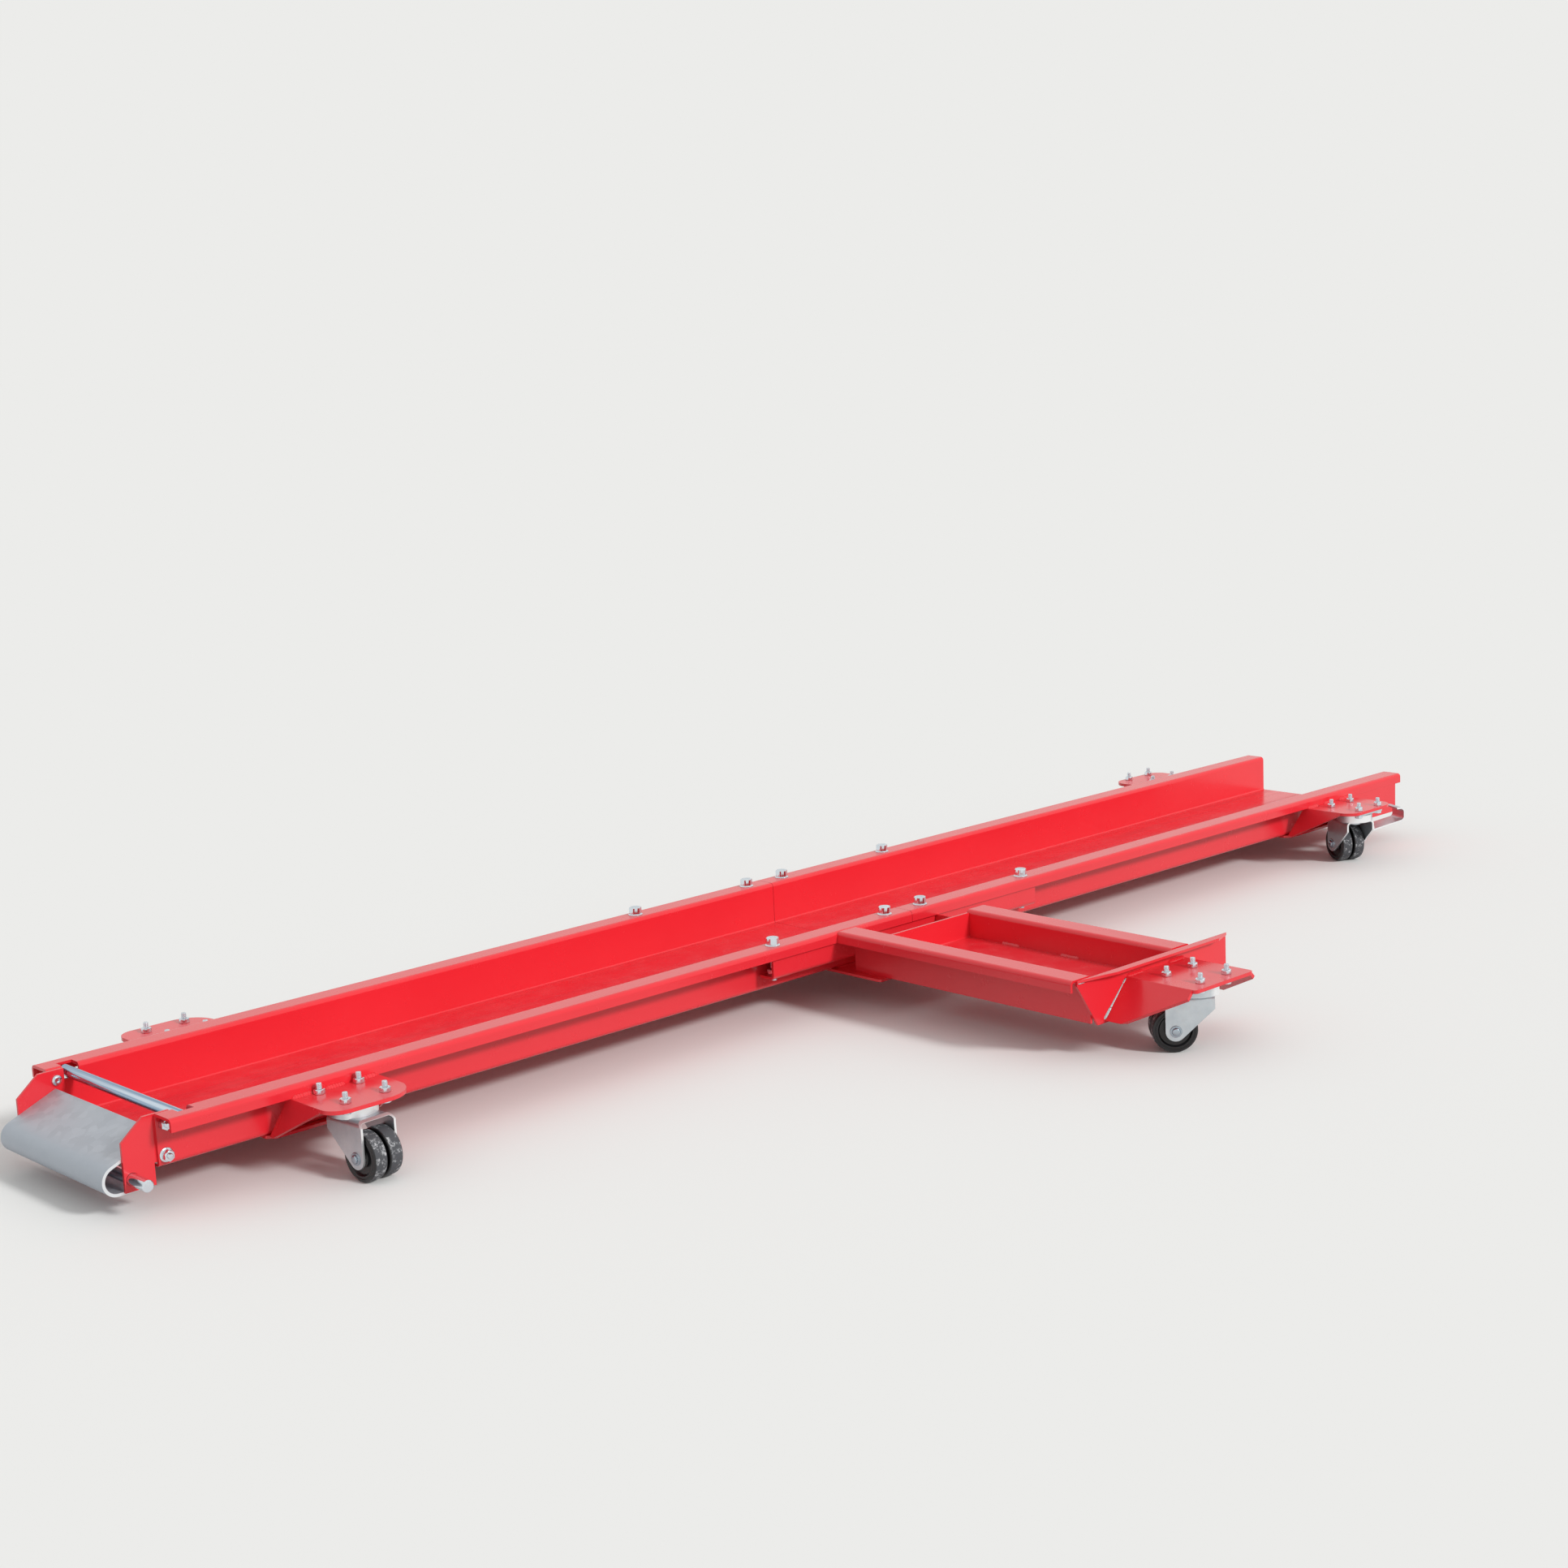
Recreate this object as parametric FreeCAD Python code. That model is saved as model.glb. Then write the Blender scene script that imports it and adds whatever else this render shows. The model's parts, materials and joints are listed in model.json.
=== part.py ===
import FreeCAD
import Part
import math
import os

from FreeCAD import Vector

# Lengths in millimetres. While the pieces are made, x = 0 is the seam between the two rails,
# y = 0 the middle of the track and z = 0 the ground. The ramp end is at -x, the tray at -y.

# Track: two folded hat-section rails, end to end.
sheet = 3.0                     # rails, joiners, tray, straps and ears
bend_inner = 2.0                # inside radius of the folds
channel_width = 210.0           # clear width for a tyre
rail_height = 53.0              # flange top to the underside of the floor
flange_reach = 32.0             # inner face of a wall to the outer face of its lip
lip_depth = 13.0
front_rail_length = 982.0
rear_rail_length = 1018.0
seam_gap = 0.5

# Joiners: C-channels under the flanges, across the seam.
joiner_half_length = 222.0
joiner_height = 33.4
joiner_flange = 23.0
joiner_clearance = 0.3          # between a joiner's web and the lip
joiner_inner_pitch = 60.0       # the pair of bolts beside the seam
joiner_end_inset = 12.0         # the pair near the joiner's ends
joiner_bolt_radius = 4.0
joiner_hex = 13.0               # across flats
joiner_head_height = 8.0        # hexagon, above its collar
joiner_collar = 1.5
joiner_collar_radius = 8.5
joiner_nut_height = 6.5         # welded on inside, on the lower flange
joiner_bolt_end = 4.0           # thread showing below that flange

# Tray for the side stand, set off from the seam.
tray_offset = -24.0
tray_clear_width = 132.7
tray_flange_reach = 33.6
tray_length = 350.0             # face of the rail's lip to the inside of the end plate
pan_depth = 32.0                # flange top to the top of the pan
pan_inset = 50.5                # rail's lip to the pan's upturned end
pan_end_drop = 3.0              # flange top to the edge of that upturned end
tray_right_start = 48.0         # rail's lip to the start of the right side's flange
end_plate_left = 93.0           # from the tray's middle
end_plate_right = 161.0
end_plate_lip = 14.0            # turned-out top flange, with the plate
end_plate_taper = 53.0          # length over which that flange runs out at the left
end_plate_right_taper = 26.0
end_plate_drop = 3.0            # lower edge: below the underside of the floor
end_plate_slant = 34.0          # left edge: how far the bottom corner stands in
end_plate_right_corner_x = 24.0
end_plate_right_corner_z = 12.0

# Splice plate and cross straps under the floor.
strap_sheet = 3.0
splice_width = 162.0
splice_past_lip = 48.0          # how far it reaches out under the tray
splice_corner = 2.0
strap_width = 126.0
strap_past_wall = 6.0
strap_corner = 8.0

# Caster brackets.
bracket_sheet = 4.0
bracket_inset = 178.0           # from a rail's free end to the middle of its bracket
bracket_width = 100.0
front_bracket_depth = 100.0
bracket_corner = 20.0           # rounding of the outer corners
front_inner_corner = 34.0       # the front brackets' corner towards the seam
caster_reach = 58.5             # front brackets: from the wall to the swivel axis
rear_bracket_depth = 103.0
rear_caster_reach = 72.0
wing_splay = 12.0
wing_root_top = 23.0            # from the wall, along the top of a wing
wing_root_low = 4.0             # from the wall, at the foot of a wing
wing_foot = 6.0
wing_tip_depth = 3.0
skirt_end_inset = 13.0          # plate behind the rear casters: from the rail's rear end
skirt_overlap = 10.0            # how far that plate reaches under the bracket
tray_bracket_offset = 37.5      # from the tray's middle
tray_bracket_depth = 93.0
tray_bracket_corner = 5.0
tray_caster_reach = 55.0        # from the end plate to the swivel axis
tray_wing_splay = 38.0
tray_wing_foot = 22.0
tray_wing_tip_depth = 8.5

# Swivel casters.
caster_height = 76.5            # ground to the top of the caster's plate
wheel_radius = 25.0
wheel_width = 15.5
wheel_gap = 3.0                 # between the two treads
tread_crown = 0.4
tread_round = 2.2
rim_inner_radius = 18.0
rim_recess = 2.5
hub_radius = 9.0
hub_end_gap = 0.3               # hub to hub, and hub to fork
trail = 26.0
axle_radius = 4.0
running_clearance = 0.05
axle_head_radius = 6.5
axle_head_height = 3.5
fork_width = 42.0               # over the legs
fork_sheet = 2.5
fork_bend_inner = 3.5
fork_drop = 14.2                # caster plate's top to the fork's bridge
fork_front = 16.0               # swivel axis to the front edge of the bridge
fork_back = 30.0                # swivel axis to the back edge of the bridge
leg_end_radius = 11.0
leg_front_slope = 14.0          # height over which the front edge stays upright
leg_shoulder = 6.0              # height of the slope behind the bridge
top_plate_side = 60.0
top_plate_corner = 8.0
top_plate_sheet = 2.5
bolt_pitch = 45.0
dish_top_radius = 19.0
dish_floor_radius = 15.5
dish_depth = 5.0
kingpin_radius = 5.0
kingpin_head_radius = 9.0
kingpin_top_head = 3.0
kingpin_low_head = 3.5
race_gap = 0.3
race_inner_radius = 10.0
race_outer_radius = 18.0
rim_radius = 24.0
rim_sheet = 2.5
rim_height = 8.7
caster_bolt_radius = 3.0
caster_hex = 10.0
caster_head_height = 4.0
caster_nut_height = 5.0
caster_bolt_end = 6.0           # thread standing above the nut
bolt_hole_clearance = 0.3
nut_bore_clearance = 0.05

# Brake pedals on the rear casters, hinged beside one leg of the fork.
pedal_pin_radius = 2.5
pedal_knuckle = 5.0             # outer radius
pedal_pin_out = 6.0             # from the leg's face to the hinge
pedal_pin_drop = 30.0           # from the caster plate's top
pedal_sheet = 2.2
pedal_lug = 2.5
pedal_lug_start = -2.0          # from the swivel axis, along the caster
pedal_width = 30.0
pedal_side_gap = 0.3
pedal_length = 53.0
pedal_rise = 10.0
pedal_roll_height = 17.0
pedal_roll_back = 12.0
pedal_roll_radius = 5.0

# Ramp end.
ear_front = 35.0                # ahead of the rail's end
ear_back = 16.5                 # inside the channel
ear_step = 3.0                  # lower part stops this far ahead of the rail's end
ear_bottom = 24.3
ear_top_drop = 1.0              # below the flange top
ear_corner_x = 24.0
ear_corner_z = 20.0
ear_floor_clearance = 0.3
ear_bolt_inset = 8.0
ear_bolt_high = 11.5            # below the flange top
ear_bolt_low = 11.0             # above the underside of the floor
ear_bolt_radius = 3.0
ear_hex = 10.0
ear_nut_height = 5.5
ear_nut_flange_radius = 7.1
ear_nut_flange = 1.5
ear_bolt_end = 2.5
button_radius = 5.6
button_height = 3.3
ramp_sheet = 3.0
ramp_back_inset = 6.5           # upper edge: inside the rail's end
ramp_back_drop = 19.5           # upper edge: below the flange top
ramp_bottom = 22.5
ramp_run = 118.0                # upper edge to where the slope would meet the bottom
nose_inner = 12.5
ramp_return_end = 12.0          # ahead of the rail's end
rod_radius = 6.0
rod_ahead = 27.0
rod_height = 12.0               # above the ears' lower edge
rod_past_ear = 30.0
rod_hole_clearance = 0.2

# Stop bar in its notches.
stop_radius = 6.0
stop_inset = 24.0
stop_past_wall = 10.0
stop_lift = 0.3                 # above the bottom of the notch
notch_front_inset = 17.5
notch_length = 17.0
notch_depth = 13.5
notch_reach = 15.0              # from the wall's inner face into the flange

# Rest directions of the wheels from their swivel axes.
front_yaw = -86.0
rear_yaw = 65.0
tray_yaw = 137.0

overrun = 20.0                  # cutting tools reach this far past the faces

# Heights and places that follow. The track stands at the height that its casters give it.
caster_seat = caster_height
bracket_top = caster_seat + bracket_sheet
lip_bottom = bracket_top
flange_top = lip_bottom + lip_depth
rail_bottom = flange_top - rail_height
floor_top = rail_bottom + sheet
flange_under = flange_top - sheet
wall_inner = channel_width / 2
wall_outer = wall_inner + sheet
lip_outer = wall_inner + flange_reach
lip_inner = lip_outer - sheet
front_end = -front_rail_length
rear_end = rear_rail_length
joiner_face = lip_inner - joiner_clearance
splice_reach = lip_outer + splice_past_lip
strap_half_length = wall_outer + strap_past_wall
stop_half_length = wall_inner + stop_past_wall
tray_inner = lip_outer
tray_outer = tray_inner + tray_length
end_face = tray_outer + sheet
pan_top = flange_top - pan_depth
front_bracket_x = front_end + bracket_inset
rear_bracket_x = rear_end - bracket_inset
front_caster_y = wall_outer + caster_reach
rear_caster_y = wall_outer + rear_caster_reach
tray_caster_x = tray_offset + tray_bracket_offset
tray_caster_y = end_face + tray_caster_reach
rod_x = front_end - rod_ahead
rod_z = ear_bottom + rod_height
stop_x = front_end + stop_inset
stop_z = flange_top - notch_depth + stop_lift + stop_radius
up = Vector(0, 0, 1)


# Section plane across the track at a given x.
def across(x):
    return lambda u, v: Vector(x, u, v)


# Section plane along the track at a given y.
def along(y):
    return lambda u, v: Vector(u, y, v)


# Plan at a given height.
def plan(z):
    return lambda u, v: Vector(u, v, z)


def outline(points, place):
    corners = [place(u, v) for u, v in points]
    return Part.Face(Part.makePolygon(corners + corners[:1]))


def prism(points, place, sweep):
    return outline(points, place).extrude(sweep)


# Section of a folded sheet from its middle line. Every corner becomes a bend.
def folded(points, thickness, radius, place):
    half = thickness / 2
    mid_radius = radius + half
    pts = [Vector(u, v, 0) for u, v in points]
    dirs = [(b - a).normalize() for a, b in zip(pts, pts[1:])]
    sides = {1: [], -1: []}
    last = {}
    for side in sides:
        last[side] = pts[0] + Vector(-dirs[0].y, dirs[0].x, 0) * (half * side)
    start = dict(last)
    for corner, into, out in zip(pts[1:-1], dirs, dirs[1:]):
        turn = math.atan2(into.x * out.y - into.y * out.x, into.dot(out))
        hand = 1 if turn > 0 else -1
        back = mid_radius * math.tan(abs(turn) / 2)
        normal_in = Vector(-into.y, into.x, 0)
        normal_out = Vector(-out.y, out.x, 0)
        begin = corner - into * back
        end = corner + out * back
        centre = begin + normal_in * (hand * mid_radius)
        bulge = (corner - centre).normalize()
        for side in sides:
            a = begin + normal_in * (half * side)
            b = end + normal_out * (half * side)
            m = centre + bulge * (mid_radius - hand * side * half)
            sides[side].append(("line", last[side], a))
            sides[side].append(("arc", a, m, b))
            last[side] = b
    stop = {}
    for side in sides:
        stop[side] = pts[-1] + Vector(-dirs[-1].y, dirs[-1].x, 0) * (half * side)
        sides[side].append(("line", last[side], stop[side]))
    pieces = sides[1] + [("line", stop[1], stop[-1])]
    pieces += [(p[0],) + tuple(reversed(p[1:])) for p in reversed(sides[-1])]
    pieces.append(("line", start[-1], start[1]))
    edges = []
    for piece in pieces:
        spots = [place(p.x, p.y) for p in piece[1:]]
        if piece[0] == "arc":
            edges.append(Part.Arc(*spots).toShape())
        else:
            edges.append(Part.LineSegment(*spots).toShape())
    return Part.Face(Part.Wire(edges))


def hexagon(centre, axis, flats, height):
    radius = flats / math.sqrt(3)
    corners = [Vector(radius * math.cos(math.radians(60 * k)), radius * math.sin(math.radians(60 * k)), 0)
               for k in range(6)]
    body = Part.Face(Part.makePolygon(corners + corners[:1])).extrude(up * height)
    body.Placement = FreeCAD.Placement(centre, FreeCAD.Rotation(up, axis))
    return body


def rod(radius, start, axis, length):
    return Part.makeCylinder(radius, length, start, axis)


# Solid of revolution about z from (radius, height) corners.
def turned(points):
    return outline(points, along(0)).revolve(Vector(0, 0, 0), up, 360)


def block(x0, x1, y0, y1, z0, z1):
    return Part.makeBox(x1 - x0, y1 - y0, z1 - z0, Vector(x0, y0, z0))


def mirror_y(shape):
    return shape.mirror(Vector(0, 0, 0), Vector(0, 1, 0))


def fuse(shapes):
    return shapes[0].multiFuse(shapes[1:]).removeSplitter()


def cut_all(shape, tools):
    return shape.cut(tools) if tools else shape


nodes = {}

# Rails.
joiner_bolt_y = wall_outer + (lip_inner - wall_outer) / 2
joiner_outer = joiner_half_length - joiner_end_inset
joiner_bolt_x = [-joiner_outer, -joiner_inner_pitch / 2, joiner_inner_pitch / 2, joiner_outer]
hat_half = [(lip_outer - sheet / 2, lip_bottom), (lip_outer - sheet / 2, flange_top - sheet / 2),
            (wall_inner + sheet / 2, flange_top - sheet / 2), (wall_inner + sheet / 2, rail_bottom + sheet / 2)]
hat = [(-u, v) for u, v in hat_half] + list(reversed(hat_half))
flange_holes = [rod(joiner_bolt_radius + bolt_hole_clearance, Vector(x, y, flange_under - overrun), up,
                    sheet + 2 * overrun)
                for x in joiner_bolt_x for y in (-joiner_bolt_y, joiner_bolt_y)]


def rail(x0, x1):
    return folded(hat, sheet, bend_inner, across(x0)).extrude(Vector(x1 - x0, 0, 0))


ear_bolt_x = front_end + ear_bolt_inset
ear_bolt_z = [flange_top - ear_bolt_high, rail_bottom + ear_bolt_low]
ear_holes = [rod(ear_bolt_radius + bolt_hole_clearance, Vector(ear_bolt_x, -lip_outer, z), Vector(0, 1, 0),
                 2 * lip_outer)
             for z in ear_bolt_z]
notch_x0 = front_end + notch_front_inset
notches = [block(notch_x0, notch_x0 + notch_length, -wall_inner - notch_reach, -wall_inner + overrun,
                 flange_top - notch_depth, flange_top + overrun)]
notches.append(mirror_y(notches[0]))
lip_window = [block(ear_bolt_x - overrun, ear_bolt_x + overrun, -wall_outer - overrun, wall_outer + overrun,
                    rail_bottom - overrun, flange_under)]
wall_holes = [hole.common(lip_window) for hole in ear_holes]
nodes["front_rail"] = rail(front_end, -seam_gap / 2).cut(flange_holes + wall_holes + notches)
nodes["rear_rail"] = rail(seam_gap / 2, rear_end).cut(flange_holes)

# Joiners, bolts and nuts.
joiner_top = flange_under
joiner_bottom = joiner_top - joiner_height
joiner_mid = joiner_face - sheet / 2
joiner_line = [(-joiner_face + joiner_flange, joiner_top - sheet / 2), (-joiner_mid, joiner_top - sheet / 2),
               (-joiner_mid, joiner_bottom + sheet / 2), (-joiner_face + joiner_flange, joiner_bottom + sheet / 2)]
joiner_holes = [rod(joiner_bolt_radius + bolt_hole_clearance, Vector(x, -joiner_bolt_y, joiner_bottom - overrun), up,
                    joiner_height + 2 * overrun)
                for x in joiner_bolt_x]
joiner = folded(joiner_line, sheet, bend_inner, across(-joiner_half_length))
joiner = joiner.extrude(Vector(2 * joiner_half_length, 0, 0)).cut(joiner_holes)
nodes["near_joiner"] = joiner
nodes["far_joiner"] = mirror_y(joiner)
bolt_bottom = joiner_bottom - joiner_bolt_end
joiner_bolts = []
joiner_nuts = []
for x in joiner_bolt_x:
    for y in (-joiner_bolt_y, joiner_bolt_y):
        shank = rod(joiner_bolt_radius, Vector(x, y, bolt_bottom), up, flange_top - bolt_bottom)
        collar = rod(joiner_collar_radius, Vector(x, y, flange_top), up, joiner_collar)
        head = hexagon(Vector(x, y, flange_top + joiner_collar), up, joiner_hex, joiner_head_height)
        joiner_bolts.append(fuse([collar, head, shank]))
        nut = hexagon(Vector(x, y, joiner_bottom + sheet), up, joiner_hex, joiner_nut_height)
        bore = rod(joiner_bolt_radius + nut_bore_clearance, Vector(x, y, bolt_bottom - overrun), up,
                   joiner_height + 2 * overrun)
        joiner_nuts.append(nut.cut(bore))
nodes["joiner_bolts"] = Part.makeCompound(joiner_bolts)
nodes["joiner_nuts"] = Part.makeCompound(joiner_nuts)

# Splice plate and cross straps.
strap_low = rail_bottom - strap_sheet
splice_x0 = tray_offset - splice_width / 2
splice_x1 = tray_offset + splice_width / 2
splice_points = [(splice_x0, wall_outer), (splice_x1, wall_outer), (splice_x1, -splice_reach + splice_corner),
                 (splice_x1 - splice_corner, -splice_reach), (splice_x0 + splice_corner, -splice_reach),
                 (splice_x0, -splice_reach + splice_corner)]
nodes["splice_plate"] = prism(splice_points, plan(strap_low), up * strap_sheet)


def cross_strap(x):
    w = strap_width / 2
    h = strap_half_length
    c = strap_corner
    points = [(x - w, -h + c), (x - w + c, -h), (x + w - c, -h), (x + w, -h + c),
              (x + w, h - c), (x + w - c, h), (x - w + c, h), (x - w, h - c)]
    return prism(points, plan(strap_low), up * strap_sheet)


nodes["front_cross_strap"] = cross_strap(front_bracket_x)
nodes["rear_cross_strap"] = cross_strap(rear_bracket_x)

# Tray. The side walls pass under the rail's lip to the joiner's web.
tray_left = tray_offset - tray_clear_width / 2
tray_right = tray_offset + tray_clear_width / 2


def tray_side(wall_x, out, start):
    wall_mid = wall_x + out * sheet / 2
    lip_mid = wall_x + out * (tray_flange_reach - sheet / 2)
    line = [(lip_mid, lip_bottom), (lip_mid, flange_top - sheet / 2), (wall_mid, flange_top - sheet / 2),
            (wall_mid, rail_bottom)]
    body = folded(line, sheet, bend_inner, along(-tray_outer)).extrude(Vector(0, tray_outer - joiner_face, 0))
    reach = tray_flange_reach + overrun
    over_lip = block(wall_x - reach, wall_x + reach, -tray_inner - start, 0, lip_bottom, flange_top + overrun)
    beside_wall = block(min(wall_mid, lip_mid + out * overrun) + (sheet if out > 0 else 0),
                        max(wall_mid, lip_mid + out * overrun) - (0 if out > 0 else sheet),
                        -tray_inner, 0, rail_bottom - overrun, flange_top)
    return body.cut([over_lip, beside_wall])


nodes["tray_left_side"] = tray_side(tray_left, -1, 0)
nodes["tray_right_side"] = tray_side(tray_right, 1, tray_right_start)
pan_line = [(-tray_inner - pan_inset, flange_top - pan_end_drop), (-tray_inner - pan_inset, pan_top - sheet / 2),
            (-tray_outer, pan_top - sheet / 2)]
nodes["tray_pan"] = folded(pan_line, sheet, bend_inner, across(tray_left)).extrude(Vector(tray_clear_width, 0, 0))

end_x0 = tray_offset - end_plate_left
end_x1 = tray_offset + end_plate_right
end_low = rail_bottom - end_plate_drop
end_line = [(-tray_outer - sheet / 2, end_low), (-tray_outer - sheet / 2, flange_top - sheet / 2),
            (-tray_outer - end_plate_lip, flange_top - sheet / 2)]
end_plate = folded(end_line, sheet, bend_inner, across(end_x0)).extrude(Vector(end_x1 - end_x0, 0, 0))
left_cut = [(end_x0, lip_bottom + lip_depth / 2), (end_x0 + end_plate_slant, end_low - sheet),
            (end_x0 - overrun, end_low - sheet), (end_x0 - overrun, lip_bottom + lip_depth / 2)]
right_cut = [(end_x1, end_low + end_plate_right_corner_z), (end_x1 + overrun, end_low),
             (end_x1 + overrun, end_low - overrun), (end_x1 - end_plate_right_corner_x, end_low)]
taper_cut = [(end_x0 - sheet, -end_face), (end_x0 + end_plate_taper, -tray_outer - end_plate_lip),
             (end_x0 + end_plate_taper, -end_face - overrun), (end_x0 - sheet, -end_face - overrun)]
right_taper_cut = [(end_x1 + sheet, -end_face), (end_x1 - end_plate_right_taper, -tray_outer - end_plate_lip),
                   (end_x1 - end_plate_right_taper, -end_face - overrun), (end_x1 + sheet, -end_face - overrun)]
end_tools = [prism(left_cut, along(-end_face - overrun), Vector(0, sheet + 2 * overrun, 0)),
             prism(right_cut, along(-end_face - overrun), Vector(0, sheet + 2 * overrun, 0)),
             prism(taper_cut, plan(flange_under - overrun), up * (sheet + 2 * overrun)),
             prism(right_taper_cut, plan(flange_under - overrun), up * (sheet + 2 * overrun))]
nodes["tray_end_plate"] = end_plate.cut(end_tools)


# Brackets. A wing is a flat side plate, bent down from the bracket and splayed outwards.
def wing(x_edge, out, corners, splay):
    depth = bracket_top - rail_bottom
    spots = [Vector(x_edge + out * splay * fall / depth, y, bracket_top - fall) for y, fall in corners]
    inward = Vector(-out * depth, 0, -splay).normalize()
    body = Part.Face(Part.makePolygon(spots + spots[:1])).extrude(inward * bracket_sheet)
    reach = splay + bracket_sheet + overrun
    ys = [y for y, fall in corners]
    return body.common(block(x_edge - reach, x_edge + reach, min(ys), max(ys), rail_bottom, bracket_top))


# The outer corners of the plate are rounded, each wing ends where its corner starts.
def bracket(x, root, depth, wing_line, splay, reach, corners):
    w = bracket_width / 2
    plate = block(x - w, x + w, -root - depth, -root, caster_seat, bracket_top)
    wings = []
    for out, radius in zip((-1, 1), corners):
        edges = [e for e in plate.Edges if e.BoundBox.ZLength > bracket_sheet / 2
                 and e.BoundBox.YMax < -root - depth / 2 and out * (e.BoundBox.Center.x - x) > w / 2]
        plate = plate.makeFillet(radius, edges)
        wings.append(wing(x + out * w, out, wing_line(-root - depth + radius), splay))
    holes = [rod(caster_bolt_radius + bolt_hole_clearance,
                 Vector(x + i * bolt_pitch / 2, -root - reach + j * bolt_pitch / 2, caster_seat - overrun), up,
                 bracket_sheet + 2 * overrun)
             for i in (-1, 1) for j in (-1, 1)]
    return [plate.cut(holes)] + wings


full_fall = bracket_top - rail_bottom


def rail_wing(tip):
    return [(-wall_outer - wing_root_top, 0), (-wall_outer - wing_root_low, full_fall),
            (-wall_outer - wing_root_low - wing_foot, full_fall), (tip, wing_tip_depth), (tip, 0)]


def tray_wing(tip):
    return [(-end_face, 0), (-end_face, full_fall), (-end_face - tray_wing_foot, full_fall),
            (tip, tray_wing_tip_depth), (tip, 0)]


front_bracket = fuse(bracket(front_bracket_x, wall_outer, front_bracket_depth, rail_wing, wing_splay, caster_reach,
                             (bracket_corner, front_inner_corner)))
skirt = block(rear_bracket_x + bracket_width / 2 - skirt_overlap, rear_end - skirt_end_inset,
              -lip_outer, -lip_inner, rail_bottom, lip_bottom)
rear_pieces = bracket(rear_bracket_x, wall_outer, rear_bracket_depth, rail_wing, wing_splay, rear_caster_reach,
                      (bracket_corner, bracket_corner))
rear_bracket = fuse(rear_pieces + [skirt])
nodes["front_near_bracket"] = front_bracket
nodes["front_far_bracket"] = mirror_y(front_bracket)
nodes["rear_near_bracket"] = rear_bracket
nodes["rear_far_bracket"] = mirror_y(rear_bracket)
nodes["tray_bracket"] = fuse(bracket(tray_caster_x, end_face, tray_bracket_depth, tray_wing, tray_wing_splay,
                                     tray_caster_reach, (tray_bracket_corner, tray_bracket_corner)))

# Ramp end. Both ears lie against the inside of the walls.
ear_x0 = front_end - ear_front
ear_top = flange_top - ear_top_drop
ear_points = [(ear_x0, ear_bottom), (front_end - ear_step, ear_bottom),
              (front_end - ear_step, floor_top + bend_inner + ear_floor_clearance),
              (front_end + ear_back, floor_top + bend_inner + ear_floor_clearance),
              (front_end + ear_back, ear_top), (ear_x0 + ear_corner_x, ear_top), (ear_x0, ear_top - ear_corner_z)]
rod_hole = rod(rod_radius + rod_hole_clearance, Vector(rod_x, -lip_outer, rod_z), Vector(0, 1, 0), 2 * lip_outer)
ear = prism(ear_points, along(-wall_inner), Vector(0, sheet, 0)).cut(ear_holes + [rod_hole])
nodes["near_ear"] = ear
nodes["far_ear"] = mirror_y(ear)
ear_inner = wall_inner - sheet
ramp_back = front_end + ramp_back_inset
ramp_top = flange_top - ramp_back_drop
ramp_line = [(ramp_back, ramp_top - ramp_sheet / 2), (ramp_back - ramp_run, ramp_bottom + ramp_sheet / 2),
             (front_end - ramp_return_end, ramp_bottom + ramp_sheet / 2)]
nodes["ramp_plate"] = folded(ramp_line, ramp_sheet, nose_inner, along(-ear_inner)).extrude(Vector(0, 2 * ear_inner, 0))
rod_half = wall_inner + rod_past_ear
nodes["ramp_rod"] = rod(rod_radius, Vector(rod_x, -rod_half, rod_z), Vector(0, 1, 0), 2 * rod_half)
ear_bolts = []
ear_nuts = []
for z in ear_bolt_z:
    bolt_end_y = wall_outer + ear_nut_flange + ear_nut_height + ear_bolt_end
    button = Part.makeCone(button_radius, ear_bolt_radius, button_height, Vector(ear_bolt_x, -ear_inner, z),
                           Vector(0, 1, 0))
    shank = rod(ear_bolt_radius, Vector(ear_bolt_x, -bolt_end_y, z), Vector(0, 1, 0), bolt_end_y - ear_inner)
    bolt = fuse([button, shank])
    collar = rod(ear_nut_flange_radius, Vector(ear_bolt_x, -wall_outer - ear_nut_flange, z), Vector(0, 1, 0),
                 ear_nut_flange)
    if z == ear_bolt_z[0]:
        collar = collar.common(hexagon(Vector(ear_bolt_x, -wall_outer, z), Vector(0, -1, 0), ear_hex, ear_nut_flange))
    hexed = hexagon(Vector(ear_bolt_x, -wall_outer - ear_nut_flange, z), Vector(0, -1, 0), ear_hex, ear_nut_height)
    bore = rod(ear_bolt_radius + nut_bore_clearance, Vector(ear_bolt_x, -bolt_end_y - overrun, z), Vector(0, 1, 0),
               bolt_end_y + overrun)
    nut = fuse([collar, hexed]).cut(bore)
    ear_bolts += [bolt, mirror_y(bolt)]
    ear_nuts += [nut, mirror_y(nut)]
nodes["ear_bolts"] = Part.makeCompound(ear_bolts)
nodes["ear_nuts"] = Part.makeCompound(ear_nuts)
nodes["stop_bar"] = rod(stop_radius, Vector(stop_x, -stop_half_length, stop_z), Vector(0, 1, 0), 2 * stop_half_length)

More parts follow.
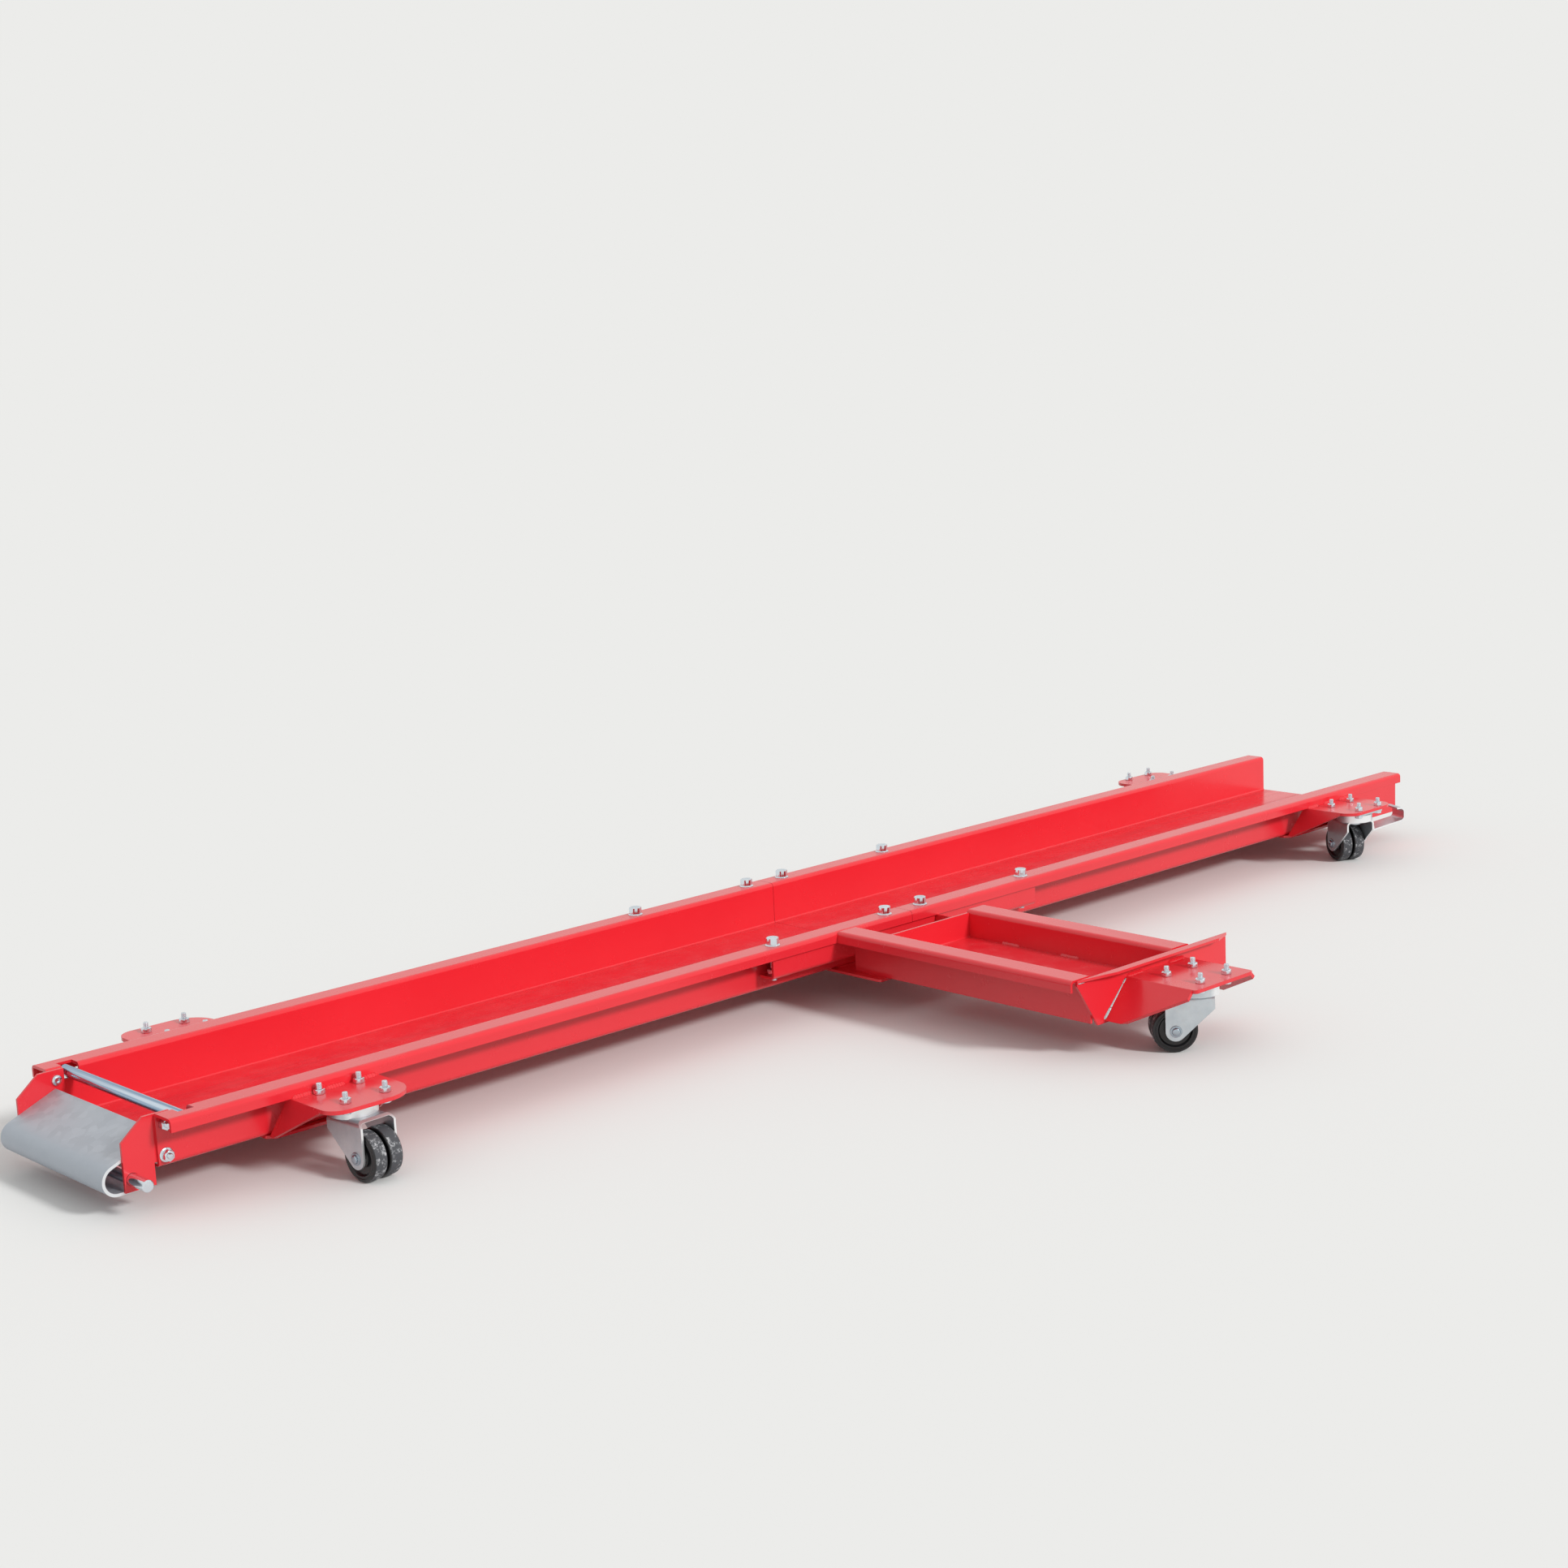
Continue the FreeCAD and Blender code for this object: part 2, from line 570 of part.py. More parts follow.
# Caster, made with its swivel axis on z, the top of its plate at z = 0 and its wheels trailing to +x.
side = top_plate_side / 2
corner = top_plate_corner
plate_points = [(-side, -side + corner), (-side + corner, -side), (side - corner, -side), (side, -side + corner),
                (side, side - corner), (side - corner, side), (-side + corner, side), (-side, side - corner)]
flat_plate = prism(plate_points, plan(-top_plate_sheet), up * top_plate_sheet)
plate_holes = [rod(caster_bolt_radius + bolt_hole_clearance, Vector(i * bolt_pitch / 2, j * bolt_pitch / 2, -overrun),
                   up, 2 * overrun)
               for i in (-1, 1) for j in (-1, 1)]
dish_wall = [(dish_top_radius, 0), (dish_floor_radius, -dish_depth), (kingpin_radius, -dish_depth),
             (kingpin_radius, -dish_depth - top_plate_sheet), (dish_floor_radius + top_plate_sheet / 2,
                                                               -dish_depth - top_plate_sheet),
             (dish_top_radius + top_plate_sheet, -top_plate_sheet), (dish_top_radius + top_plate_sheet, 0)]
dish = turned(dish_wall)
mouth = rod(dish_top_radius + top_plate_sheet / 2, Vector(0, 0, -overrun), up, 2 * overrun)
caster_plate = fuse([flat_plate.cut(plate_holes + [mouth]), dish])

dish_under = dish_depth + top_plate_sheet
bridge_low = fork_drop + fork_sheet
kingpin_seat = bridge_low + race_gap
kingpin_points = [(0, -dish_depth + kingpin_top_head), (kingpin_head_radius, -dish_depth + kingpin_top_head),
                  (kingpin_head_radius, -dish_depth), (kingpin_radius, -dish_depth),
                  (kingpin_radius, -kingpin_seat), (kingpin_head_radius, -kingpin_seat),
                  (kingpin_head_radius, -kingpin_seat - kingpin_low_head), (0, -kingpin_seat - kingpin_low_head)]
kingpin = turned(kingpin_points)

axle_drop = caster_height - wheel_radius
leg_face = fork_width / 2
leg_mid = leg_face - fork_sheet / 2
leg_low = axle_drop + leg_end_radius
u_line = [(-leg_mid, -leg_low - overrun), (-leg_mid, -fork_drop - fork_sheet / 2),
          (leg_mid, -fork_drop - fork_sheet / 2), (leg_mid, -leg_low - overrun)]
channel = folded(u_line, fork_sheet, fork_bend_inner, across(-fork_front))
channel = channel.extrude(Vector(fork_front + trail + leg_end_radius, 0, 0))
# Side view of a leg: upright behind the axle, swept from the bridge's front edge to the rounded end.
front_low = Vector(-fork_front, 0, -fork_drop - leg_front_slope)
axle_at = Vector(trail, 0, -axle_drop)
sweep = axle_at - front_low
gap = sweep.Length
lean = math.atan2(sweep.z, sweep.x) - math.asin(leg_end_radius / gap)
touch = axle_at + Vector(math.sin(lean), 0, -math.cos(lean)) * leg_end_radius
back_x = trail + leg_end_radius
foot = axle_at + Vector(math.cos(math.radians(-45)), 0, math.sin(math.radians(-45))) * leg_end_radius
leg_corners = [Vector(-fork_front, 0, -fork_drop), front_low, touch, Vector(back_x, 0, -axle_drop),
               Vector(back_x, 0, -fork_drop - leg_shoulder), Vector(fork_back, 0, -fork_drop)]
leg_edges = [Part.LineSegment(leg_corners[0], leg_corners[1]).toShape(),
             Part.LineSegment(leg_corners[1], leg_corners[2]).toShape(),
             Part.Arc(leg_corners[2], foot, leg_corners[3]).toShape(),
             Part.LineSegment(leg_corners[3], leg_corners[4]).toShape(),
             Part.LineSegment(leg_corners[4], leg_corners[5]).toShape(),
             Part.LineSegment(leg_corners[5], leg_corners[0]).toShape()]
leg_view = Part.Face(Part.Wire(leg_edges))
leg_view.translate(Vector(0, -leg_face - overrun, 0))
leg_view = leg_view.extrude(Vector(0, fork_width + 2 * overrun, 0))
swivel_hole = rod(kingpin_radius + running_clearance, Vector(0, 0, -leg_low), up, leg_low)
axle_hole = rod(axle_radius + running_clearance, Vector(trail, -fork_width, -axle_drop), Vector(0, 1, 0),
                2 * fork_width)
cup_points = [(kingpin_radius, -fork_drop - fork_sheet / 2), (rim_radius, -fork_drop - fork_sheet / 2),
              (rim_radius, -fork_drop + rim_height), (rim_radius - rim_sheet, -fork_drop + rim_height),
              (rim_radius - rim_sheet, -fork_drop), (race_outer_radius, -fork_drop),
              (race_outer_radius, -dish_under - race_gap), (race_inner_radius, -dish_under - race_gap),
              (race_inner_radius, -fork_drop), (kingpin_radius, -fork_drop)]
fork = fuse([channel.common(leg_view), turned(cup_points)]).cut([swivel_hole, axle_hole])

head_y = leg_face + axle_head_height
axle_points = [(0, -head_y), (axle_head_radius / 2, -head_y), (axle_head_radius, -leg_face - axle_head_height / 3),
               (axle_head_radius, -leg_face), (axle_radius, -leg_face)]
axle_points += [(r, -h) for r, h in reversed(axle_points)]
axle = turned(axle_points)
axle.rotate(Vector(0, 0, 0), Vector(1, 0, 0), 90)
axle.translate(axle_at)

tread_in = wheel_gap / 2
tread_out = tread_in + wheel_width
leg_inner = leg_face - fork_sheet
bore = axle_radius + running_clearance
edge_radius = wheel_radius - tread_crown
wheel_points = [(bore, hub_end_gap / 2), (hub_radius, hub_end_gap / 2), (hub_radius, tread_in),
                (edge_radius, tread_in), (wheel_radius, tread_in + wheel_width / 2), (edge_radius, tread_out),
                (rim_inner_radius, tread_out), (rim_inner_radius, tread_out - rim_recess),
                (hub_radius, tread_out - rim_recess), (hub_radius, leg_inner - hub_end_gap),
                (bore, leg_inner - hub_end_gap)]
wheel = turned(wheel_points)
rims = [e for e in wheel.Edges if e.BoundBox.XLength > edge_radius + rim_inner_radius
        and abs(e.BoundBox.Center.z - tread_in - wheel_width / 2) > wheel_width / 4]
wheel = wheel.makeFillet(tread_round, rims)
wheel.rotate(Vector(0, 0, 0), Vector(1, 0, 0), -90)
wheel.translate(axle_at)

# Hinge and pedal beside the leg at -y.
pin_y = -leg_face - pedal_pin_out
pin_z = -pedal_pin_drop
lug_points = [(-leg_face + fork_sheet / 2, pin_z - pedal_knuckle), (pin_y, pin_z - pedal_knuckle),
              (pin_y - pedal_knuckle / 2, pin_z), (pin_y, pin_z + pedal_knuckle),
              (-leg_face + fork_sheet / 2, pin_z + pedal_knuckle)]
pedal_x0 = pedal_lug_start + pedal_lug + pedal_side_gap
lug_x1 = pedal_x0 + pedal_width + pedal_side_gap
lugs = [prism(lug_points, across(x), Vector(pedal_lug, 0, 0)) for x in (pedal_lug_start, lug_x1)]
hinge = rod(pedal_pin_radius, Vector(pedal_lug_start, pin_y, pin_z), Vector(1, 0, 0),
            lug_x1 + pedal_lug - pedal_lug_start)
brake_fork = fuse([fork] + lugs + [hinge])
knuckle = rod(pedal_knuckle, Vector(pedal_x0, pin_y, pin_z), Vector(1, 0, 0), pedal_width)
pedal_bore = rod(pedal_pin_radius + running_clearance, Vector(pedal_x0 - overrun, pin_y, pin_z), Vector(1, 0, 0),
                 pedal_width + 2 * overrun)
tread_z = pin_z - pedal_knuckle + pedal_sheet / 2
tip_y = pin_y - pedal_length
pedal_line = [(pin_y, tread_z), (tip_y, tread_z + pedal_rise), (tip_y, tread_z + pedal_rise + pedal_roll_height),
              (tip_y + pedal_roll_back, tread_z + pedal_rise + pedal_roll_height)]
pedal = folded(pedal_line, pedal_sheet, pedal_roll_radius, across(pedal_x0)).extrude(Vector(pedal_width, 0, 0))
pedal = fuse([knuckle, pedal]).cut(pedal_bore)

bolt_low = caster_height - top_plate_sheet
bolt_high = bracket_top + caster_nut_height + caster_bolt_end
caster_bolts = []
caster_nuts = []
for name, x, y, yaw, mirrored, braked in (
        ("front_near", front_bracket_x, -front_caster_y, front_yaw, False, False),
        ("front_far", front_bracket_x, -front_caster_y, front_yaw, True, False),
        ("rear_near", rear_bracket_x, -rear_caster_y, rear_yaw, False, True),
        ("rear_far", rear_bracket_x, -rear_caster_y, rear_yaw, True, True),
        ("tray", tray_caster_x, -tray_caster_y, tray_yaw, False, False)):
    turning = {"fork": brake_fork if braked else fork, "axle": axle, "left_wheel": wheel,
               "right_wheel": mirror_y(wheel)}
    if braked:
        turning["brake_pedal"] = pedal
    still = {"caster_plate": caster_plate, "kingpin": kingpin}
    for label, shape in list(turning.items()) + list(still.items()):
        piece = shape.copy()
        if label in turning:
            piece.rotate(Vector(0, 0, 0), up, yaw)
        piece.translate(Vector(x, y, caster_seat))
        nodes[name + "_" + label] = mirror_y(piece) if mirrored else piece
    for i in (-1, 1):
        for j in (-1, 1):
            spot = Vector(x + i * bolt_pitch / 2, y + j * bolt_pitch / 2, 0)
            head = hexagon(spot + up * (bolt_low - caster_head_height), up, caster_hex, caster_head_height)
            shank = rod(caster_bolt_radius, spot + up * bolt_low, up, bolt_high - bolt_low)
            screw = fuse([head, shank])
            nut = hexagon(spot + up * bracket_top, up, caster_hex, caster_nut_height)
            nut = nut.cut(rod(caster_bolt_radius + nut_bore_clearance, spot, up, bolt_high + overrun))
            caster_bolts.append(mirror_y(screw) if mirrored else screw)
            caster_nuts.append(mirror_y(nut) if mirrored else nut)
nodes["caster_bolts"] = Part.makeCompound(caster_bolts)
nodes["caster_nuts"] = Part.makeCompound(caster_nuts)

# The finished part stands on the ground with its origin under the middle of its outer box.
boxes = [shape.optimalBoundingBox(False, False) for shape in nodes.values()]
middle_x = (min(b.XMin for b in boxes) + max(b.XMax for b in boxes)) / 2
middle_y = (min(b.YMin for b in boxes) + max(b.YMax for b in boxes)) / 2
to_origin = Vector(-middle_x, -middle_y, 0)
os.makedirs("parts", exist_ok=True)
for name, shape in nodes.items():
    shape.translate(to_origin)
    shape.exportStep("parts/" + name + ".step")
    print(name, len(shape.Solids), "solids", shape.isValid(), round(shape.Volume))
print("origin moved by", to_origin)
print("outer box", max(b.XMax for b in boxes) - min(b.XMin for b in boxes),
      max(b.YMax for b in boxes) - min(b.YMin for b in boxes), max(b.ZMax for b in boxes),
      min(b.ZMin for b in boxes))
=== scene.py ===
import json
import math
import bpy
import numpy as np
from mathutils import Matrix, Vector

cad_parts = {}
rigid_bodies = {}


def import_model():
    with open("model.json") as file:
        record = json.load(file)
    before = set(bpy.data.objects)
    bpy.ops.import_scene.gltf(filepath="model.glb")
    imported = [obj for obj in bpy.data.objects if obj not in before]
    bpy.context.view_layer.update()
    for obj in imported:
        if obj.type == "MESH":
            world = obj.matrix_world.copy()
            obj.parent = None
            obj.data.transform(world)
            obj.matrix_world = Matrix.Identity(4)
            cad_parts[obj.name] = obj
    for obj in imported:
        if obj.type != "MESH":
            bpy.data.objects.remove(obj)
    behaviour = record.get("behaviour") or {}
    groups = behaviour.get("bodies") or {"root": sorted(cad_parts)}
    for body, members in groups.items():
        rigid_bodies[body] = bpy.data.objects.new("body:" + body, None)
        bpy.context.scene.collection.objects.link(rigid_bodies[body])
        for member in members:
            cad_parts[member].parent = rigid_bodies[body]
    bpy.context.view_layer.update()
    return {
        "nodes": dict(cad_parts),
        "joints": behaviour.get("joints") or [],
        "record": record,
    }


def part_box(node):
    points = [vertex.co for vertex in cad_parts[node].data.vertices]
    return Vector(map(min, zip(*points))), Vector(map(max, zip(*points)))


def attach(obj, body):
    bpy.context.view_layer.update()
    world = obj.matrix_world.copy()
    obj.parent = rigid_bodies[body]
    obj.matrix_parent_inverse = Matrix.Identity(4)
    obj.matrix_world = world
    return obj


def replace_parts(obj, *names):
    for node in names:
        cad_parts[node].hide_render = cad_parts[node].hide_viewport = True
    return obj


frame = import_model()
nodes = frame["nodes"]
mm = 0.001
perMetre = 1000             # millimetres in a metre; a pattern's scale is this over its size in mm
point = 0.01                # radius in mm with which a turned form ends on its axis
bevelSamples = 4
casterNames = ["front_near", "front_far", "rear_near", "rear_far", "tray"]
print("frame loaded:", len(nodes), "nodes")


# lowest and highest corner of a node, in millimetres
def boxMm(node):
    low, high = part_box(node)
    return np.array(low) * perMetre, np.array(high) * perMetre


# sRGB hex to the linear colour that shaders take
def hexColour(code):
    srgb = np.array([int(code[i:i + 2], 16) for i in (1, 3, 5)]) / 255
    linear = np.where(srgb <= 0.04045, srgb / 12.92, ((srgb + 0.055) / 1.055) ** 2.4)
    return (*linear.tolist(), 1.0)


# one node, its settings, and its sockets either set or linked
def addNode(tree, kind, sockets=None, **settings):
    node = tree.nodes.new(kind)
    for name, value in settings.items():
        setattr(node, name, value)
    for socket, value in (sockets or {}).items():
        if isinstance(value, bpy.types.NodeSocket):
            tree.links.new(value, node.inputs[socket])
        else:
            node.inputs[socket].default_value = value
    return node


# a material with an empty node tree
def newMaterial(name):
    material = bpy.data.materials.new(name)
    material.use_nodes = True
    material.node_tree.nodes.clear()
    return material, material.node_tree


# Gloss polyester powder coat, sprayed on folded steel and baked: an even warm red, mirror-like at a
# low angle, rounded over the cut edges, with a faint orange peel and a little dust on what faces up.
powderCoat = {
    "red": "#E62D38", "deep": "#DD2530", "dust": "#E8A09D",
    "cloud": {"Scale": perMetre / 120, "Detail": 3.0, "Roughness": 0.55},
    "grit": {"Scale": perMetre / 28, "Detail": 6.0, "Roughness": 0.62},
    "dusty": {"From Min": 0.42, "From Max": 0.72, "To Max": 0.08},
    "upward": {"From Min": 0.6, "From Max": 0.98},
    "gloss": {"From Min": 0.3, "From Max": 0.75, "To Min": 0.2, "To Max": 0.3},
    # real peel is about 2 mm, drawn coarser so that it shows
    "peel": {"Scale": perMetre / 6, "Detail": 2.0, "Roughness": 0.4},
    "peelBump": {"Strength": 0.03, "Distance": 0.4 * mm},
    "edge": {"Radius": 0.6 * mm},
    "shader": {"IOR": 1.5, "Coat Weight": 0.18, "Coat Roughness": 0.08},
}
# scuffs: streaks along the track, on the floor of the channel only
trackScuffs = {
    "scuff": "#8E2C30", "stretch": (0.04, 1.0, 1.0),
    "streak": {"Scale": perMetre / 16, "Detail": 4.0, "Roughness": 0.6},
    "worn": {"From Min": 0.45, "From Max": 0.8, "To Max": 0.26},
    "addedRoughness": 0.6, "sheetMm": 3.0, "goneMm": 3.0, "fullMm": 1.0,
}


# red by a slow cloud, dust by grit on what faces up, gloss by the same grit, scuffs by height and streak
def makePowderCoat(name, scuffed):
    p, t = powderCoat, trackScuffs
    material, tree = newMaterial(name)
    place = addNode(tree, "ShaderNodeTexCoord").outputs
    cloud = addNode(tree, "ShaderNodeTexNoise", {"Vector": place["Object"], **p["cloud"]})
    tone = addNode(tree, "ShaderNodeMix", {
        0: cloud.outputs["Fac"], 6: hexColour(p["red"]), 7: hexColour(p["deep"])}, data_type="RGBA")
    grit = addNode(tree, "ShaderNodeTexNoise", {"Vector": place["Object"], **p["grit"]})
    dusty = addNode(tree, "ShaderNodeMapRange", {"Value": grit.outputs["Fac"], **p["dusty"]})
    face = addNode(tree, "ShaderNodeSeparateXYZ", {0: place["Normal"]})
    upward = addNode(tree, "ShaderNodeMapRange", {"Value": face.outputs["Z"], **p["upward"]})
    film = addNode(tree, "ShaderNodeMath", {0: dusty.outputs[0], 1: upward.outputs[0]}, operation="MULTIPLY")
    colour = addNode(tree, "ShaderNodeMix", {
        0: film.outputs[0], 6: tone.outputs[2], 7: hexColour(p["dust"])}, data_type="RGBA")
    rough = addNode(tree, "ShaderNodeMapRange", {"Value": grit.outputs["Fac"], **p["gloss"]})
    if scuffed:
        floorTop = boxMm("front_rail")[0][2] + t["sheetMm"]
        drawn = addNode(tree, "ShaderNodeMapping", {"Vector": place["Object"], "Scale": t["stretch"]})
        streak = addNode(tree, "ShaderNodeTexNoise", {"Vector": drawn.outputs[0], **t["streak"]})
        worn = addNode(tree, "ShaderNodeMapRange", {"Value": streak.outputs["Fac"], **t["worn"]})
        spot = addNode(tree, "ShaderNodeSeparateXYZ", {0: place["Object"]})
        low = addNode(tree, "ShaderNodeMapRange", {
            "Value": spot.outputs["Z"], "From Min": (floorTop + t["goneMm"]) * mm,
            "From Max": (floorTop + t["fullMm"]) * mm})
        mark = addNode(tree, "ShaderNodeMath", {0: low.outputs[0], 1: worn.outputs[0]}, operation="MULTIPLY")
        mark = addNode(tree, "ShaderNodeMath", {
            0: mark.outputs[0], 1: upward.outputs[0]}, operation="MULTIPLY")
        colour = addNode(tree, "ShaderNodeMix", {
            0: mark.outputs[0], 6: colour.outputs[2], 7: hexColour(t["scuff"])}, data_type="RGBA")
        rough = addNode(tree, "ShaderNodeMath", {
            0: mark.outputs[0], 1: t["addedRoughness"], 2: rough.outputs[0]}, operation="MULTIPLY_ADD")
    peel = addNode(tree, "ShaderNodeTexNoise", {"Vector": place["Object"], **p["peel"]})
    edge = addNode(tree, "ShaderNodeBevel", p["edge"], samples=bevelSamples)
    bump = addNode(tree, "ShaderNodeBump", {
        "Height": peel.outputs["Fac"], "Normal": edge.outputs[0], **p["peelBump"]})
    shader = addNode(tree, "ShaderNodeBsdfPrincipled", {
        "Base Color": colour.outputs[2], "Roughness": rough.outputs[0], "Normal": bump.outputs[0],
        **p["shader"]})
    addNode(tree, "ShaderNodeOutputMaterial", {"Surface": shader.outputs[0]})
    return material


# Bright zinc electroplate with a clear passivate: a bluish silver, slightly cloudy and stained on
# stampings, clean and bright on screws, and streaked lengthwise by the die on drawn bar, with soft
# pressed edges. The grain is drawn coarser than it is, so that it shows.
zincPlate = {
    "stretch": (1.0, 1.0, 1.0),
    "cloud": {"Scale": perMetre / 22, "Detail": 4.0, "Roughness": 0.6},
    "toned": {"From Min": 0.3, "From Max": 0.7},
    "glossSpan": {"From Min": 0.25, "From Max": 0.75},
    "grain": {"Scale": perMetre / 2.4, "Detail": 2.0},
    "edge": {"Radius": 0.5 * mm},
}
stampedZinc = {
    # paintedGlint: near-white painted highlight on the sheared edges of forks and pedals
    **zincPlate, "pale": "#D6DCE0", "grey": "#C0C9CF", "warm": "#CFC8B6", "paintedGlint": "#FBFCFD", "metal": 0.85,
    "gloss": {"To Min": 0.3, "To Max": 0.42}, "grainBump": {"Strength": 0.03, "Distance": 0.2 * mm},
    "stain": {"Scale": perMetre / 8.46, "Detail": 2.0},
    "stained": {"From Min": 0.58, "From Max": 0.8, "To Max": 0.15},
    "sheared": {"From Min": 0.45, "From Max": 0.7},
}
screwZinc = {
    **zincPlate, "pale": "#E6EDF3", "grey": "#D6DFE7", "metal": 1.0,
    "gloss": {"To Min": 0.17, "To Max": 0.21}, "grainBump": {"Strength": 0.008, "Distance": 0.2 * mm},
}
axleZinc = {**screwZinc, "pale": "#B7C2CB", "grey": "#97A3AE"}
drawnZinc = {
    **screwZinc, "pale": "#D6E4F2", "grey": "#86A2BE", "stretch": (1.0, 0.01, 1.0),
    "cloud": {"Scale": perMetre / 5, "Detail": 4.0, "Roughness": 0.6},
    "toned": {"From Min": 0.4, "From Max": 0.6}, "gloss": {"To Min": 0.14, "To Max": 0.2},
}


# tone and gloss by one cloud, warm stains by a finer one, and a near-white painted highlight where the
# normal lies along a given way, either side, as it does on the sheared edges of a fork or pedal
def makeZinc(name, finish, along=None):
    z = finish
    material, tree = newMaterial(name)
    place = addNode(tree, "ShaderNodeTexCoord").outputs
    drawn = addNode(tree, "ShaderNodeMapping", {"Vector": place["Object"], "Scale": z["stretch"]})
    cloud = addNode(tree, "ShaderNodeTexNoise", {"Vector": drawn.outputs[0], **z["cloud"]})
    toned = addNode(tree, "ShaderNodeMapRange", {"Value": cloud.outputs["Fac"], **z["toned"]})
    colour = addNode(tree, "ShaderNodeMix", {
        0: toned.outputs[0], 6: hexColour(z["pale"]), 7: hexColour(z["grey"])}, data_type="RGBA")
    if "stained" in z:
        stain = addNode(tree, "ShaderNodeTexNoise", {"Vector": place["Object"], **z["stain"]})
        stained = addNode(tree, "ShaderNodeMapRange", {"Value": stain.outputs["Fac"], **z["stained"]})
        colour = addNode(tree, "ShaderNodeMix", {
            0: stained.outputs[0], 6: colour.outputs[2], 7: hexColour(z["warm"])}, data_type="RGBA")
    # painted highlight: faces along the given way lighten towards near white
    if along:
        facing = addNode(tree, "ShaderNodeVectorMath", {
            0: place["Normal"], 1: along}, operation="DOT_PRODUCT")
        edgeOn = addNode(tree, "ShaderNodeMath", {0: facing.outputs["Value"]}, operation="ABSOLUTE")
        sheared = addNode(tree, "ShaderNodeMapRange", {"Value": edgeOn.outputs[0], **z["sheared"]})
        colour = addNode(tree, "ShaderNodeMix", {
            0: sheared.outputs[0], 6: colour.outputs[2], 7: hexColour(z["paintedGlint"])}, data_type="RGBA")
    rough = addNode(tree, "ShaderNodeMapRange", {
        "Value": cloud.outputs["Fac"], **z["glossSpan"], **z["gloss"]})
    grain = addNode(tree, "ShaderNodeTexNoise", {"Vector": place["Object"], **z["grain"]})
    edge = addNode(tree, "ShaderNodeBevel", z["edge"], samples=bevelSamples)
    bump = addNode(tree, "ShaderNodeBump", {
        "Height": grain.outputs["Fac"], "Normal": edge.outputs[0], **z["grainBump"]})
    shader = addNode(tree, "ShaderNodeBsdfPrincipled", {
        "Base Color": colour.outputs[2], "Metallic": z["metal"], "Roughness": rough.outputs[0],
        "Normal": bump.outputs[0]})
    addNode(tree, "ShaderNodeOutputMaterial", {"Surface": shader.outputs[0]})
    return material


# Galvanised sheet, continuously dipped and skin rolled: smooth mid grey with only a trace of spangle and
# some paler smudges, a slightly darker grey over its last 20 mm towards the nose, and bright bare steel
# on its two cut ends.
galvanised = {
    "pale": "#BCC1C9", "grey": "#B0B5BD", "smudge": "#C6CACF", "nose": "#B1B8C1", "cut": "#E6EAEC",
    "spangle": {"Scale": perMetre / 9, "Randomness": 1.0},
    "cloud": {"Scale": perMetre / 90, "Detail": 6.0, "Roughness": 0.65},
    "smudged": {"From Min": 0.4, "From Max": 0.8, "To Max": 0.4},
    "noseStartMm": 20.0, "noseFullMm": 6.0,
    "sheared": {"From Min": 0.9, "From Max": 0.97},
    "gloss": {"To Min": 0.46, "To Max": 0.52}, "metal": 0.55,
    "bump": {"Strength": 0.02, "Distance": 0.3 * mm},
}


# tone and gloss by crystal, smudges by a cloud, the nose by distance from its front, cut ends by normal
def makeGalvanised(name):
    g = galvanised
    material, tree = newMaterial(name)
    place = addNode(tree, "ShaderNodeTexCoord").outputs
    crystal = addNode(tree, "ShaderNodeTexVoronoi", {"Vector": place["Object"], **g["spangle"]})
    shade = addNode(tree, "ShaderNodeSeparateColor", {0: crystal.outputs["Color"]})
    tone = addNode(tree, "ShaderNodeMix", {
        0: shade.outputs[0], 6: hexColour(g["pale"]), 7: hexColour(g["grey"])}, data_type="RGBA")
    cloud = addNode(tree, "ShaderNodeTexNoise", {"Vector": place["Object"], **g["cloud"]})
    smudged = addNode(tree, "ShaderNodeMapRange", {"Value": cloud.outputs["Fac"], **g["smudged"]})
    smudge = addNode(tree, "ShaderNodeMix", {
        0: smudged.outputs[0], 6: tone.outputs[2], 7: hexColour(g["smudge"])}, data_type="RGBA")
    noseEnd = boxMm("ramp_plate")[0][0]
    spot = addNode(tree, "ShaderNodeSeparateXYZ", {0: place["Object"]})
    towardsNose = addNode(tree, "ShaderNodeMapRange", {
        "Value": spot.outputs["X"], "From Min": (noseEnd + g["noseStartMm"]) * mm,
        "From Max": (noseEnd + g["noseFullMm"]) * mm}, interpolation_type="SMOOTHSTEP")
    nose = addNode(tree, "ShaderNodeMix", {
        0: towardsNose.outputs[0], 6: smudge.outputs[2], 7: hexColour(g["nose"])}, data_type="RGBA")
    face = addNode(tree, "ShaderNodeSeparateXYZ", {0: place["Normal"]})
    across = addNode(tree, "ShaderNodeMath", {0: face.outputs["Y"]}, operation="ABSOLUTE")
    sheared = addNode(tree, "ShaderNodeMapRange", {"Value": across.outputs[0], **g["sheared"]})
    colour = addNode(tree, "ShaderNodeMix", {
        0: sheared.outputs[0], 6: nose.outputs[2], 7: hexColour(g["cut"])}, data_type="RGBA")
    rough = addNode(tree, "ShaderNodeMapRange", {"Value": shade.outputs[1], **g["gloss"]})
    bump = addNode(tree, "ShaderNodeBump", {"Height": cloud.outputs["Fac"], **g["bump"]})
    shader = addNode(tree, "ShaderNodeBsdfPrincipled", {
        "Base Color": colour.outputs[2], "Metallic": g["metal"], "Roughness": rough.outputs[0],
        "Normal": bump.outputs[0]})
    addNode(tree, "ShaderNodeOutputMaterial", {"Surface": shader.outputs[0]})
    return material


